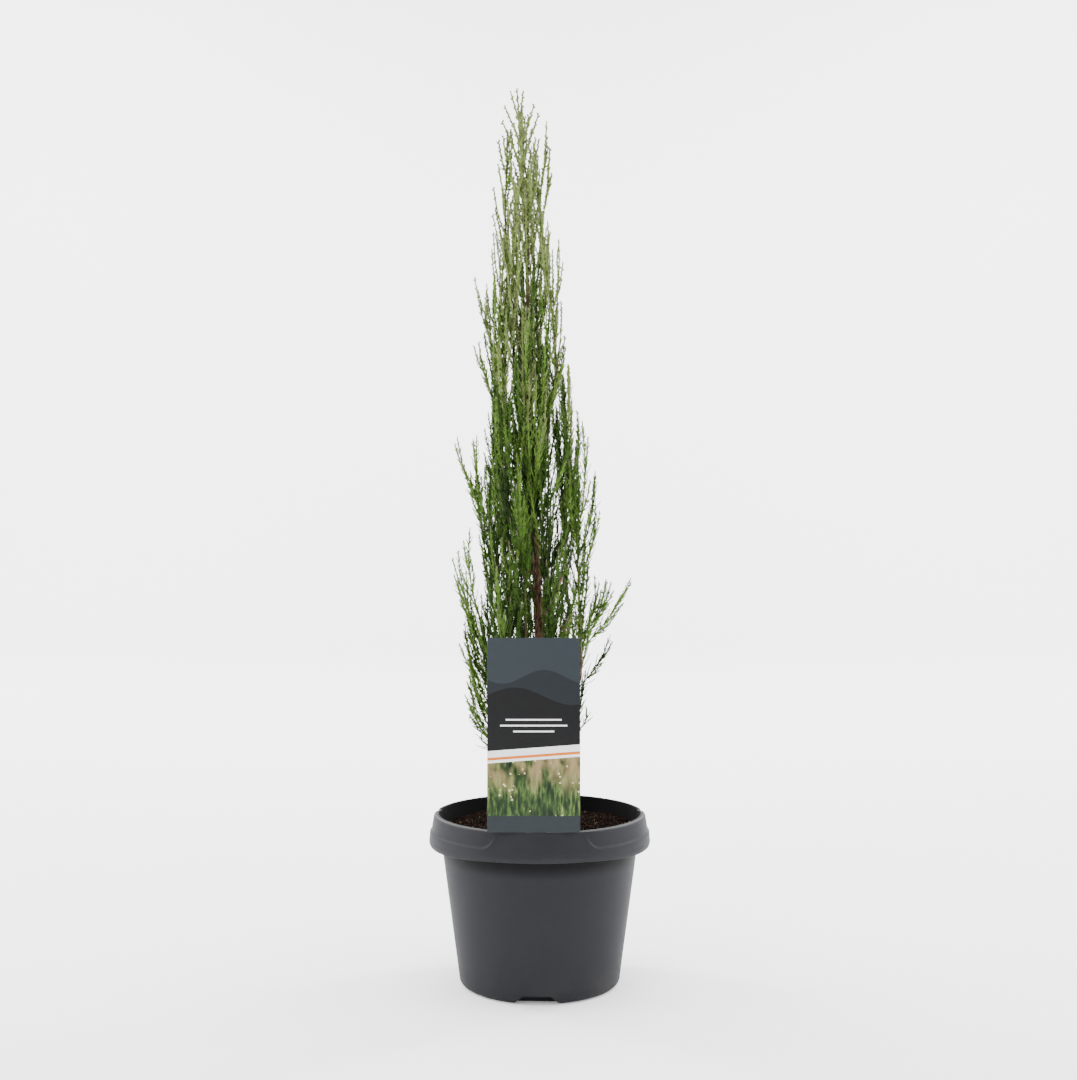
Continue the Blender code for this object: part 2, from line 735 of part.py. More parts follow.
class Mass:
    """Foliage of one shoot: side twigs and toothed sprays, each kept inside the shoot's space."""

    def __init__(self, index, name, path, space, seed):
        self.index = index
        self.name = name
        self.path = path
        self.space = space
        self.draw = random.Random(seed)
        self.pieces = []

    def try_spray(self, root, heading, length, width, teeth):
        """Add a spray, turned and if need be shortened until it fits; say whether it did."""
        for attempt in range(TRIES):
            scale = 1.0 - TRY_SHRINK * attempt
            frame = frame_along(root - heading * ROOT_SUNK, heading, self.draw.uniform(0.0, 180.0))
            outline = spray_outline(length * scale, width * scale, teeth)
            samples = [frame @ point for point in spray_samples(outline)]
            if max(sample.z for sample in samples) > TREE_TOP - MM:
                continue
            if self.space.holds(self.index, samples, 0.5 * SPRAY_THICKNESS):
                mesh = plate_mesh(outline, SPRAY_THICKNESS)
                mesh.transform(frame)
                self.pieces.append(mesh)
                return True
        return False

    def try_twig(self, root, heading, azimuth, length):
        """Add a side twig that leans out and then straightens; return its path, or nothing."""
        for attempt in range(TRIES):
            out = lean_from(heading, azimuth + TRY_TURN * attempt, TWIG_LEAN - TRY_STRAIGHTEN * attempt)
            up = (out + heading * TWIG_STRAIGHTENING).normalized()
            elbow = root + out * TWIG_ELBOW * length
            tip = elbow + up * (1.0 - TWIG_ELBOW) * length
            samples = [elbow, tip, elbow.lerp(tip, 0.5)]
            if self.space.holds(self.index, samples, TWIG_ROOT_RADIUS):
                path = [root, elbow, tip]
                self.pieces.append(tube_mesh(path, tapered(TWIG_ROOT_RADIUS, TWIG_TIP_RADIUS, 2), TWIG_SIDES))
                return path
        return None

    def add_whip(self, leave, azimuth, distance, height, width):
        """Add a long side whip to a named tip, with slim sprays along it."""
        root = point_at_height(self.path, leave)
        tip = leader(height) + polar(distance, azimuth)
        bulge = (root - leader(root.z)) * WHIP_BULGE
        path = []
        for step in range(WHIP_STATIONS + 1):
            share = step / WHIP_STATIONS
            path.append(root.lerp(tip, share) + bulge * math.sin(math.pi * share))
        radii = tapered(TWIG_ROOT_RADIUS, TWIG_TIP_RADIUS, WHIP_STATIONS)
        self.pieces.append(tube_mesh(path, radii, TWIG_SIDES))
        for low, high in zip(path[1:], path[2:]):
            heading = (high - low).normalized()
            self.try_spray(low, heading, (high - low).length, width, 2)

    def dress(self, width, bare):
        """Grow twigs and sprays along the shoot, from the bare length at its root to its tip."""
        total = path_length(self.path)
        stations = max(int(round((total - bare) / STATION_STEP)), 2)
        for station in range(stations):
            distance = bare + (total - bare) * station / stations
            root, heading = point_on(self.path, distance)
            heading = (heading + UPRIGHT).normalized()
            azimuth = GOLDEN_ANGLE * station + self.draw.uniform(-AZIMUTH_SCATTER, AZIMUTH_SCATTER)
            fade = 1.0 - SPRAY_FADE * station / stations
            full = fade * self.draw.uniform(SPRAY_SHORTEST, SPRAY_LONGEST)
            length = min(full, total - distance + SPRAY_OVERHANG)
            teeth = max(int(round(length / TOOTH_PITCH)) - 1, 1)
            if station % 2 and total - distance > TWIG_ROOM:
                twig = self.try_twig(root, heading, azimuth, TWIG_SHARE * length)
                if twig:
                    up = (twig[2] - twig[1]).normalized()
                    self.try_spray(twig[1], up, length, width * fade, teeth)
                    narrow = TIP_SPRAY_NARROWING * width * fade
                    self.try_spray(twig[2], up, TIP_SPRAY_SHARE * length, narrow, 1)
            else:
                lean = lean_from(heading, azimuth, SPRAY_LEAN)
                self.try_spray(root, lean, length, width * fade, teeth)
        end, heading = point_on(self.path, total - END_SPRAY_LENGTH)
        self.try_spray(end, heading, END_SPRAY_LENGTH, END_SPRAY_NARROWING * width, 1)

    def joined(self, home, cutter):
        """Fuse the shoot, its twigs and its sprays into one solid, seated clear of the trunk."""
        radii = tapered(SHOOT_ROOT_RADIUS, SHOOT_TIP_RADIUS, len(self.path) - 1)
        item = mesh_object(self.name, tube_mesh(self.path, radii, TWIG_SIDES), home, "foliage")
        if self.pieces:
            gather = new_collection("gather")
            for mesh in self.pieces:
                mesh_object("piece", mesh, gather)
            union = item.modifiers.new("join", "BOOLEAN")
            union.operation = "UNION"
            union.operand_type = "COLLECTION"
            union.collection = gather
            union.solver = "MANIFOLD"
            apply_modifiers(item)
            for piece in list(gather.objects):
                bpy.data.objects.remove(piece)
            bpy.data.collections.remove(gather)
        seat_on_trunk(item, cutter)
        return item


def apply_modifiers(item):
    """Replace an object's mesh by its evaluated one and keep its largest closed shell."""
    evaluated = item.evaluated_get(bpy.context.evaluated_depsgraph_get())
    mesh = bpy.data.meshes.new_from_object(evaluated)
    item.modifiers.clear()
    made = bmesh.new()
    made.from_mesh(mesh)
    shells = []
    waiting = set(made.verts)
    while waiting:
        shell = {waiting.pop()}
        border = list(shell)
        while border:
            for edge in border.pop().link_edges:
                for vertex in edge.verts:
                    if vertex in waiting:
                        waiting.remove(vertex)
                        shell.add(vertex)
                        border.append(vertex)
        shells.append(shell)
    shells.sort(key=len)
    loose = [vertex for shell in shells[:-1] for vertex in shell]
    bmesh.ops.delete(made, geom=loose, context="VERTS")
    made.to_mesh(mesh)
    made.free()
    mesh.name = item.name
    item.data = mesh


def seat_on_trunk(item, cutter):
    """Cut a limb clear of the trunk, so that its root follows the trunk's side."""
    step = item.modifiers.new("seat", "BOOLEAN")
    step.operation = "DIFFERENCE"
    step.object = cutter
    apply_modifiers(item)


def bough_radii(limb):
    """Radii along a bough, thicker at the root for a longer limb."""
    root = BOUGH_TIP_RADIUS + BOUGH_THICKENING * limb.hold
    return tapered(root, BOUGH_TIP_RADIUS, BOUGH_STATIONS)


def build_bough(limb, home, cutter):
    """One bare bough, from the trunk to where its mass begins."""
    mesh = tube_mesh(limb.bough_path(), bough_radii(limb), BOUGH_SIDES)
    bough = mesh_object("bough_" + limb.name, mesh, home, "bark")
    seat_on_trunk(bough, cutter)
    smooth(bough)


def build_mass(index, limb, path, space, home, cutter):
    """The mass of foliage on one limb, with the whips that it carries."""
    mass = Mass(index, "foliage_" + limb.name, path, space, SEED + index)
    width = SPRAY_WIDTH + SPRAY_CROWN_SHARE * crown_radius(path[len(path) // 2].z)
    mass.dress(width, limb.bare)
    for carrier, *whip in WHIPS:
        if carrier == limb.name:
            mass.add_whip(*whip, WHIP_WIDTH)
    mass.joined(home, cutter)


def build_tree(home, cutters):
    """Trunk, boughs and masses of foliage."""
    trunk = mesh_object("trunk", trunk_mesh(), home, "bark")
    smooth(trunk)
    cutter = mesh_object("trunk_cutter", trunk_mesh(grow=CLEARANCE), cutters)
    hide_guide(cutter)
    limbs = plan_limbs() + [LeadingShoot()]
    paths = [limb.shoot_path() for limb in limbs]
    space = Space(paths)
    for limb in limbs:
        if limb.has_bough:
            space.add_limb(limb.bough_path(), bough_radii(limb))
            build_bough(limb, home, cutter)
    for index, (limb, path) in enumerate(zip(limbs, paths)):
        build_mass(index, limb, path, space, home, cutter)


def main():
    """Build the whole part."""
    clear_scene()
    home = new_collection("rocky_mountain_juniper")
    cutters = new_collection("cutters")
    build_pot(home, cutters)
    build_soil(home)
    build_label(home)
    build_tree(home, cutters)


main()
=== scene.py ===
"""Potted rocky mountain juniper: the looks of the tree, its pot, its compost and its label.

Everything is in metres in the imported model's frame: +Z up, the origin on the pot's axis at the level
that the pot stands on, and the label on the -Y side. The tree repeats the rule of the part's source:
limbs leave the trunk by the golden angle and swing upright, each carries one plume of whips, and each
whip carries pairs of branchlets clad in scale leaves.
"""

import logging
import math
import random
from dataclasses import dataclass
from enum import Enum
from typing import Any, Callable, Dict, List, Optional, Sequence, Tuple

import bmesh
import bpy
import numpy as np
from mathutils import Matrix, Vector, noise


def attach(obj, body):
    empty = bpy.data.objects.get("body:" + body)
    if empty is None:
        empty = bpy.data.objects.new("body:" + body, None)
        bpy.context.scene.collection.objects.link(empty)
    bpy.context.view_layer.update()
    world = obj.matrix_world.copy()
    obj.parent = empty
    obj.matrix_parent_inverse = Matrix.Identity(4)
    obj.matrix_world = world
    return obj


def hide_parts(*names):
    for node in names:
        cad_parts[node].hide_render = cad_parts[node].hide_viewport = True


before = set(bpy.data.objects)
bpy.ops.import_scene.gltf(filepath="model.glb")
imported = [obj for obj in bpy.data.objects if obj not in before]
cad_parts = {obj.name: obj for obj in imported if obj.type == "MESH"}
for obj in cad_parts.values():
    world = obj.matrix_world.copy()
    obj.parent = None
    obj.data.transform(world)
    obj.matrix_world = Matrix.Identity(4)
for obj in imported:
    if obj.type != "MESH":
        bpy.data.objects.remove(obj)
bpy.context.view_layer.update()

LOG = logging.getLogger("juniper")
MM = 0.001
BODY = "root"
Triple = Tuple[float, float, float]
Colour = Triple
Profile = List[Tuple[float, float]]
Report = Tuple[str, int]


class Signal:
    """An output socket of a node, which adds nodes of its own when it is used in an expression."""

    def __init__(self, bench: "Bench", socket: Any) -> None:
        """Keep the socket and the bench that adds nodes to its tree."""
        self.bench = bench
        self.socket = socket

    def math(self, operation: str, *others: Any) -> "Signal":
        """Return a Math node's result on this signal and others."""
        return self.bench.node("ShaderNodeMath", {"operation": operation}, dict(enumerate((self, *others))))

    def other(self, name: str) -> "Signal":
        """Return another output of the same node."""
        return Signal(self.bench, self.socket.node.outputs[name])

    def __add__(self, other: Any) -> "Signal":
        """Add."""
        return self.math("ADD", other)

    def __mul__(self, other: Any) -> "Signal":
        """Multiply."""
        return self.math("MULTIPLY", other)

    def __sub__(self, other: Any) -> "Signal":
        """Subtract."""
        return self.math("SUBTRACT", other)

    def __rsub__(self, other: Any) -> "Signal":
        """Subtract from a number."""
        return (self * -1.0) + other

    def __truediv__(self, other: Any) -> "Signal":
        """Divide."""
        return self.math("DIVIDE", other)

    def __pow__(self, other: Any) -> "Signal":
        """Raise to a power."""
        return self.math("POWER", other)

    def above(self, edge: Any) -> "Signal":
        """Return 1 where the signal is greater than the edge, else 0."""
        return self.math("GREATER_THAN", edge)

    def below(self, edge: Any) -> "Signal":
        """Return 1 where the signal is less than the edge, else 0."""
        return self.math("LESS_THAN", edge)

    def rise(self, low: float, high: float) -> "Signal":
        """Return a smooth step from 0 at one value of the signal to 1 at another."""
        limits = {"Value": self, "From Min": low, "From Max": high}
        return self.bench.node("ShaderNodeMapRange", {"interpolation_type": "SMOOTHSTEP"}, limits)


class Bench:
    """Adds nodes to one shader or geometry tree."""

    def __init__(self, tree: Any) -> None:
        """Keep the tree."""
        self.tree = tree

    def node(self, kind: str, settings: Optional[Dict[str, Any]] = None,
             inputs: Optional[Dict[Any, Any]] = None) -> Signal:
        """Add one node.

        Args:
            kind: the node's type.
            settings: its properties, set first; "stops" holds a colour ramp's positions and colours.
            inputs: values or signals for its sockets, by name, identifier or number.

        Returns:
            The node's first output in use.
        """
        made = self.tree.nodes.new(kind)
        for name, value in (settings or {}).items():
            if name == "stops":
                self.set_stops(made.color_ramp, value)
            else:
                setattr(made, name, value)
        for key, value in (inputs or {}).items():
            socket = self.socket(made, key)
            if isinstance(value, Signal):
                self.tree.links.new(value.socket, socket)
            else:
                socket.default_value = value
        outputs = [output for output in made.outputs if output.enabled]
        return Signal(self, outputs[0] if outputs else None)

    def random(self, low: Any, high: Any, seed: Any) -> Signal:
        """Return a random number between two limits for each element."""
        limits = {"Min": low, "Max": high, "Seed": seed}
        return self.node("FunctionNodeRandomValue", {"data_type": "FLOAT"}, limits)

    @staticmethod
    def socket(made: Any, key: Any) -> Any:
        """Find a node's input.

        Args:
            made: the node.
            key: the input's number, its identifier, or its name among those in use.

        Returns:
            The input socket.
        """
        if isinstance(key, int):
            return made.inputs[key]
        for socket in made.inputs:
            if socket.enabled and key in (socket.name, socket.identifier):
                return socket
        raise KeyError(f"{made.bl_idname} has no input {key}")

    @staticmethod
    def set_stops(ramp: Any, stops: Sequence[Tuple[float, Colour]]) -> None:
        """Give a colour ramp its stops.

        Args:
            ramp: the colour ramp.
            stops: the position and colour of each stop.
        """
        while len(ramp.elements) < len(stops):
            ramp.elements.new(1.0)
        for element, (position, colour) in zip(ramp.elements, stops):
            element.position = position
            element.color = (*colour, 1.0)


class ShaderBench(Bench):
    """Adds shader nodes to one material and feeds its Principled shader."""

    def __init__(self, name: str) -> None:
        """Make the material with an empty Principled shader.

        Args:
            name: the material's name.
        """
        self.material = bpy.data.materials.new(name)
        self.material.use_nodes = True
        super().__init__(self.material.node_tree)
        self.shader = self.tree.nodes["Principled BSDF"]
        self.place = self.node("ShaderNodeTexCoord").other("Object")

    def axes(self) -> Tuple[Signal, Signal, Signal]:
        """Return the place's X, Y and Z."""
        split = self.node("ShaderNodeSeparateXYZ", None, {0: self.place})
        return split.other("X"), split.other("Y"), split.other("Z")

    def scaled(self, scale: Triple) -> Signal:
        """Return the place stretched along its axes."""
        return self.node("ShaderNodeVectorMath", {"operation": "MULTIPLY"}, {0: self.place, 1: scale})

    def grain(self, scale: float, detail: float = 3.0, roughness: float = 0.55,
              stretch: Triple = (1.0, 1.0, 1.0)) -> Signal:
        """Add noise.

        Args:
            scale: the number of grains per metre.
            detail: how many finer layers it has.
            roughness: how strong the finer layers are.
            stretch: the scale along each axis.

        Returns:
            The noise, between 0 and 1.
        """
        settings = {"noise_dimensions": "3D"}
        values = {"Vector": self.scaled(stretch), "Scale": scale, "Detail": detail, "Roughness": roughness}
        return self.node("ShaderNodeTexNoise", settings, values)

    def cells(self, scale: float) -> Signal:
        """Return the distance to the nearest point of a cell pattern, at a number of cells per metre."""
        return self.node("ShaderNodeTexVoronoi", {"feature": "F1"}, {"Vector": self.place, "Scale": scale})

    def mix(self, factor: Any, first: Any, second: Any) -> Signal:
        """Mix two colours.

        Args:
            factor: the second colour's share.
            first: a colour or a signal.
            second: a colour or a signal.

        Returns:
            The mixed colour.
        """
        first, second = [value if isinstance(value, Signal) else (*value, 1.0) for value in (first, second)]
        inputs = {"Factor_Float": factor, "A_Color": first, "B_Color": second}
        return self.node("ShaderNodeMix", {"data_type": "RGBA", "blend_type": "MIX"}, inputs)

    def ramp(self, value: Signal, stops: Sequence[Tuple[float, Colour]]) -> Signal:
        """Return a colour read from stops by a value."""
        return self.node("ShaderNodeValToRGB", {"stops": stops}, {0: value})

    def feed(self, **values: Any) -> None:
        """Set or link the shader's sockets.

        Args:
            **values: numbers, colours or signals by socket name, with underscores for spaces.
        """
        for key, value in values.items():
            socket = self.shader.inputs[key.replace("_", " ")]
            if isinstance(value, Signal):
                self.tree.links.new(value.socket, socket)
            elif isinstance(value, tuple):
                socket.default_value = (*value, 1.0)
            else:
                socket.default_value = value

    def emboss(self, height: Signal, depth: float, strength: float = 1.0) -> None:
        """Feed the Normal from a height of a given depth in metres."""
        bump = self.node("ShaderNodeBump", None, {"Height": height, "Distance": depth, "Strength": strength})
        self.feed(Normal=bump)


@dataclass(frozen=True)
class PotPlastic:
    """Dark grey moulded plastic, satin, with dust and fine scuffs, painted shade inside the pot and under
    the collar, and a painted highlight along the rim's top edge.
    """

    base: Colour = (0.0172, 0.0178, 0.0206)
    # Near-black painted shade of the pot's inner wall and floor, also used for the painted shadow under the
    # collar.
    inside: Colour = (0.0010, 0.0009, 0.0009)
    dust: Colour = (0.034, 0.033, 0.032)
    # Light grey of the painted highlight along the rim's top edge.
    wear: Colour = (0.085, 0.086, 0.090)
    low_roughness: float = 0.46
    high_roughness: float = 0.60
    draft: float = 0.133
    inner_at_foot: float = 61.5 * MM
    outer_at_foot: float = 63.2 * MM
    floor_top: float = 8.0 * MM
    lip: float = 112.0 * MM
    lip_fade: float = 7.0 * MM
    skirt_foot: float = 106.5 * MM
    skirt_shade: float = 12.5 * MM
    dust_top: float = 30.0 * MM
    edge_radius: float = 80.9 * MM
    edge_height: float = 131.4 * MM
    label_x: float = -4.4 * MM
    label_half: float = 34.0 * MM
    label_front: float = -70.0 * MM

    def make(self) -> Any:
        """Return the material."""
        bench = ShaderBench("pot_plastic")
        cloud = bench.grain(28.0, 4.0)
        scuff = bench.grain(70.0, 5.0, 0.7, (1.0, 1.0, 0.12)).rise(0.62, 0.78)
        x, y, height = bench.axes()
        radius = (x * x + y * y) ** 0.5
        # Mask of the pot's inside, which is painted near-black as shade.
        inner = radius.below(height * self.draft + self.inner_at_foot) * height.above(self.floor_top)
        low_dust = (1.0 - height.rise(0.0, self.dust_top)) * cloud.rise(0.35, 0.75) * 0.45
        over_lip = 1.0 - height.rise(self.lip, self.lip + self.lip_fade)
        on_lip = height.rise(self.lip - self.lip_fade, self.lip) * over_lip
        dusty = low_dust + on_lip * cloud * 0.25 + scuff * 0.10 + cloud.rise(0.45, 0.8) * 0.10
        collar = radius.above(height * self.draft + self.outer_at_foot)
        # Painted shadow on the body just under the collar's skirt, in the near-black shade colour.
        under_skirt = height.rise(self.skirt_foot - self.skirt_shade, self.skirt_foot)
        painted_collar_shadow = under_skirt * (1.0 - collar) * (1.0 - inner) * 0.8
        # Painted highlight along the rim's top edge, left out under the label where its shadow falls on the
        # rim.
        label_shadow = (x - self.label_x).math("ABSOLUTE").below(self.label_half) * y.below(self.label_front)
        edge = radius.above(self.edge_radius) * height.above(self.edge_height)
        painted_rim_highlight = edge * (1.0 - label_shadow) * 0.7
        outside = bench.mix(painted_rim_highlight, bench.mix(dusty, self.base, self.dust), self.wear)
        # Base colour: painted shade inside the pot and painted shadow under the collar, over the dusty
        # plastic with its painted rim highlight.
        bench.feed(
            Base_Color=bench.mix(inner + painted_collar_shadow, outside, self.inside),
            Roughness=cloud * (self.high_roughness - self.low_roughness) + self.low_roughness + inner * 0.35,
            Specular_IOR_Level=0.07,
        )
        bench.emboss(bench.grain(900.0, 2.0) + scuff * 0.5, 0.05 * MM, 0.35)
        return bench.material


@dataclass(frozen=True)
class Peat:
    """Dark moist peat in one of its tones, with lighter grains."""

    name: str
    dark: Colour
    light: Colour
    share: float

    def make(self) -> Any:
        """Return the material."""
        bench = ShaderBench(self.name)
        grain = bench.grain(900.0, 4.0, 0.7)
        patch = bench.grain(160.0, 2.0)
        level = 1.0 - self.share
        tone = grain.rise(level - 0.25, level + 0.2) * patch.rise(0.25, 0.75)
        bench.feed(
            Base_Color=bench.mix(tone, self.dark, self.light),
            Roughness=0.98 - grain * 0.15,
            Specular_IOR_Level=0.03,
        )
        bench.emboss(grain + patch, 0.5 * MM, 0.8)
        return bench.material


@dataclass(frozen=True)
class Bark:
    """Red-brown bark that flakes in upright strips and turns green-brown up the stem."""

    name: str = "bark"
    crack: Colour = (0.024, 0.011, 0.007)
    mid: Colour = (0.180, 0.094, 0.054)
    flake: Colour = (0.360, 0.245, 0.165)
    stain: Colour = (0.040, 0.025, 0.016)
    young: Colour = (0.070, 0.060, 0.018)
    young_from: float = 310.0 * MM
    young_at: float = 420.0 * MM
    damp_to: float = 160.0 * MM
    dry_from: float = 250.0 * MM
    damp_share: float = 0.84

    def make(self) -> Any:
        """Return the material."""
        bench = ShaderBench(self.name)
        strips = bench.grain(430.0, 4.0, 0.65, (1.0, 1.0, 0.32))
        fine = bench.grain(1600.0, 3.0, 0.6, (1.0, 1.0, 0.30))
        _, _, height = bench.axes()
        relief = strips * 0.75 + fine * 0.25
        stops = [(0.40, self.crack), (0.48, self.mid), (0.56, self.mid), (0.64, self.flake)]
        # The old bark turns darker towards the trunk's foot.
        foot_darkening = (1.0 - height.rise(self.damp_to, self.dry_from)) * self.damp_share
        old = bench.mix(foot_darkening, bench.ramp(relief, stops), self.stain)
        fresh = bench.mix(fine.rise(0.35, 0.7) * 0.5, self.young, self.mid)
        bench.feed(
            Base_Color=bench.mix(height.rise(self.young_from, self.young_at), old, fresh),
            Roughness=0.95 - relief * 0.25,
            Specular_IOR_Level=0.3,
        )
        bench.emboss(relief, 0.45 * MM, 0.9)
        return bench.material


class Tint(Enum):
    """The greens of the foliage, dealt out by whip, with their base and vein colours. SHADE is a painted
    shade, dealt mostly to whips deep in the crown.
    """

    SHADE = ((0.008, 0.022, 0.002), (0.018, 0.041, 0.004))
    GREEN = ((0.031, 0.073, 0.007), (0.056, 0.114, 0.015))
    FRESH = ((0.080, 0.156, 0.019), (0.126, 0.222, 0.036))
    PALE = ((0.146, 0.200, 0.051), (0.217, 0.277, 0.094))
    TIP = ((0.085, 0.085, 0.048), (0.135, 0.130, 0.085))

    @property
    def label(self) -> str:
        """Return the tint's name in lower case."""
        return self.name.lower()


@dataclass(frozen=True)
class Greenery:
    """Waxy scale leaves of one tint, deeper in patches."""

    tint: Tint
    depth: float = 0.40

    def make(self) -> Any:
        """Return the material."""
        bench = ShaderBench("foliage_" + self.tint.label)
        base, light = self.tint.value
        deep = tuple(self.depth * value for value in base)
        grain = bench.grain(700.0, 2.0)
        patch = bench.grain(150.0, 2.0).rise(0.50, 0.66) * 0.7
        bench.feed(
            Base_Color=bench.mix(patch, bench.mix(grain.rise(0.3, 0.7), base, light), deep),
            Roughness=0.66 - grain * 0.16,
            Specular_IOR_Level=0.13,
        )
        bench.emboss(bench.grain(2600.0, 1.0), 0.08 * MM, 0.4)
        return bench.material


@dataclass(frozen=True)
class CardPrint:
    """Satin card printed with plain hills, a white band with an orange stripe, and a leafy field."""

    centre_x: float
    foot: float
    width: float
    height: float
    sky: Colour = (0.024, 0.031, 0.036)
    far_hill: Colour = (0.0145, 0.0175, 0.0205)
    near_hill: Colour = (0.0075, 0.0077, 0.0083)
    white: Colour = (0.80, 0.81, 0.82)
    orange: Colour = (0.62, 0.15, 0.012)
    strip: Colour = (0.0150, 0.0195, 0.0225)
    straw: Colour = (0.300, 0.215, 0.105)
    petals: Colour = (0.560, 0.500, 0.330)
    middle_y: float = -80.6 * MM
    far_level: float = 0.80
    near_level: float = 0.70
    band_tilt: float = 0.035
    band_top: float = 0.435
    stripe_top: float = 0.400
    stripe_foot: float = 0.386
    band_foot: float = 0.372
    strip_top: float = 0.085

    def make(self) -> Any:
        """Return the material."""
        bench = ShaderBench("label_print")
        x, y, z = bench.axes()
        across = (x - self.centre_x) / self.width
        along = (z - self.foot) / self.height
        front = y.below(self.middle_y)
        far = along.below((across * 7.0 + 0.8).math("SINE") * 0.035 + self.far_level)
        near = along.below((across * 5.0 + 2.6).math("SINE") * 0.045 + self.near_level)
        picture = bench.mix(near, bench.mix(far, self.sky, self.far_hill), self.near_hill)
        picture = bench.mix(self.rules(across, along), picture, self.white)
        slope = along - across * self.band_tilt
        stripe = slope.below(self.stripe_top) * slope.above(self.stripe_foot)
        picture = bench.mix(slope.below(self.band_top), picture, self.white)
        picture = bench.mix(stripe, picture, self.orange)
        picture = bench.mix(slope.below(self.band_foot), picture, self.field(bench, along))
        picture = bench.mix(along.below(self.strip_top), picture, self.strip)
        plain = bench.mix(along.below(0.5), self.strip, self.near_hill)
        bench.feed(
            Base_Color=bench.mix(front, plain, picture),
            Roughness=bench.grain(60.0) * 0.10 + 0.42,
            Specular_IOR_Level=0.16,
            Coat_Weight=0.05,
        )
        bench.emboss(bench.grain(1200.0, 2.0), 0.02 * MM, 0.3)
        return bench.material

    @staticmethod
    def rules(across: Signal, along: Signal) -> Signal:
        """Draw three plain centred lines.

        Args:
            across: the share of the card's width, from its middle.
            along: the share of its height, from its foot.

        Returns:
            The lines' mask.
        """
        mask = 0.0
        for level, half in ((0.575, 0.30), (0.545, 0.36), (0.515, 0.22)):
            inside = across.math("ABSOLUTE").below(half)
            mask = inside * along.above(level) * along.below(level + 0.008) + mask
        return mask

    def field(self, bench: ShaderBench, along: Signal) -> Signal:
        """Paint the meadow: upright blades, darker at the foot, with straw and pale flowers.

        Args:
            bench: the card's material.
            along: the share of the card's height, from its foot.

        Returns:
            The meadow's colour.
        """
        blades = bench.grain(460.0, 3.0, 0.6, (1.0, 1.0, 0.22))
        clumps = bench.grain(90.0, 2.0, 0.5, (1.0, 1.0, 0.6))
        greens = bench.ramp(blades * 0.7 + clumps * 0.3, [
            (0.36, (0.004, 0.010, 0.003)),
            (0.48, (0.018, 0.042, 0.010)),
            (0.56, (0.060, 0.105, 0.024)),
            (0.66, (0.170, 0.205, 0.070)),
        ])
        dry = along.rise(0.16, 0.36) * clumps.rise(0.42, 0.62) * 0.75
        flowers = bench.cells(230.0).below(0.17) * clumps.above(0.46)
        return bench.mix(flowers, bench.mix(dry, greens, self.straw), self.petals)


@dataclass(frozen=True)
class FloorPaint:
    """Matt white sweep of the studio."""

    colour: Colour = (0.86, 0.86, 0.86)
    cloud: Colour = (0.80, 0.80, 0.80)
    glow: float = 0.20

    def make(self) -> Any:
        """Return the material."""
        bench = ShaderBench("studio_floor")
        clouded = bench.grain(3.0, 1.0).rise(0.2, 0.8) * 0.01
        bench.feed(
            Base_Color=bench.mix(clouded, self.colour, self.cloud),
            Roughness=0.9,
            Specular_IOR_Level=0.1,
            Emission_Color=(1.0, 1.0, 1.0),
            Emission_Strength=self.glow,
        )
        return bench.material


def link(name: str, mesh: Any, material: Optional[Any] = None) -> Any:
    """Link a new object for a mesh into the scene.

    Args:
        name: the object's name.
        mesh: its mesh data.
        material: its only material.

    Returns:
        The object.
    """
    made = bpy.data.objects.new(name, mesh)
    bpy.context.scene.collection.objects.link(made)
    if material:
        mesh.materials.clear()
        mesh.materials.append(material)
    return made


def finished(name: str, made: Any, outward: bool = True) -> Any:
    """Turn a bmesh into mesh data and free it.

    Args:
        name: the mesh's name.
        made: the bmesh.
        outward: whether its normals are turned outward first.

    Returns:
        The mesh data.
    """
    if outward:
        bmesh.ops.recalc_face_normals(made, faces=made.faces)
    mesh = bpy.data.meshes.new(name)
    made.to_mesh(mesh)
    made.free()
    return mesh


def evaluated(item: Any) -> Any:
    """Turn an object with modifiers into plain mesh.

    Args:
        item: the object.

    Returns:
        The same object, with its evaluated mesh and without its modifiers.
    """
    depsgraph = bpy.context.evaluated_depsgraph_get()
    mesh = bpy.data.meshes.new_from_object(item.evaluated_get(depsgraph))
    item.modifiers.clear()
    old = item.data
    item.data = mesh
    bpy.data.meshes.remove(old)
    mesh.name = item.name
    return item


def shade(item: Any, degrees: float) -> Any:
    """Shade a piece smooth except across its sharp edges.

    Args:
        item: the piece.
        degrees: the angle from which an edge is sharp.

    Returns:
        The same piece.
    """
    item.data.shade_smooth()
    item.data.set_sharp_from_angle(angle=math.radians(degrees))
    return item


def hand_over(item: Any, nodes: Sequence[str] = ()) -> Report:
    """Let a finished piece ride on the part.

    Args:
        item: the piece.
        nodes: the nodes that it stands for.

    Returns:
        The piece's name and its number of faces, for the report.
    """
    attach(item, BODY)
    if nodes:
        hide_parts(*nodes)
    return item.name, len(item.data.polygons)


def polar(radius: float, degrees: float, height: float = 0.0) -> Vector:
    """Return the point at a distance and azimuth round the vertical axis."""
    angle = math.radians(degrees)
    return Vector((radius * math.cos(angle), radius * math.sin(angle), height))


def turn_between(first: float, second: float) -> float:
    """Return the angle between two azimuths in degrees."""
    return abs((first - second + 180.0) % 360.0 - 180.0)


def smooth_step(value: float, low: float, high: float) -> float:
    """Return a smooth step from 0 at low to 1 at high."""
    share = min(max((value - low) / (high - low), 0.0), 1.0)
    return share * share * (3.0 - 2.0 * share)


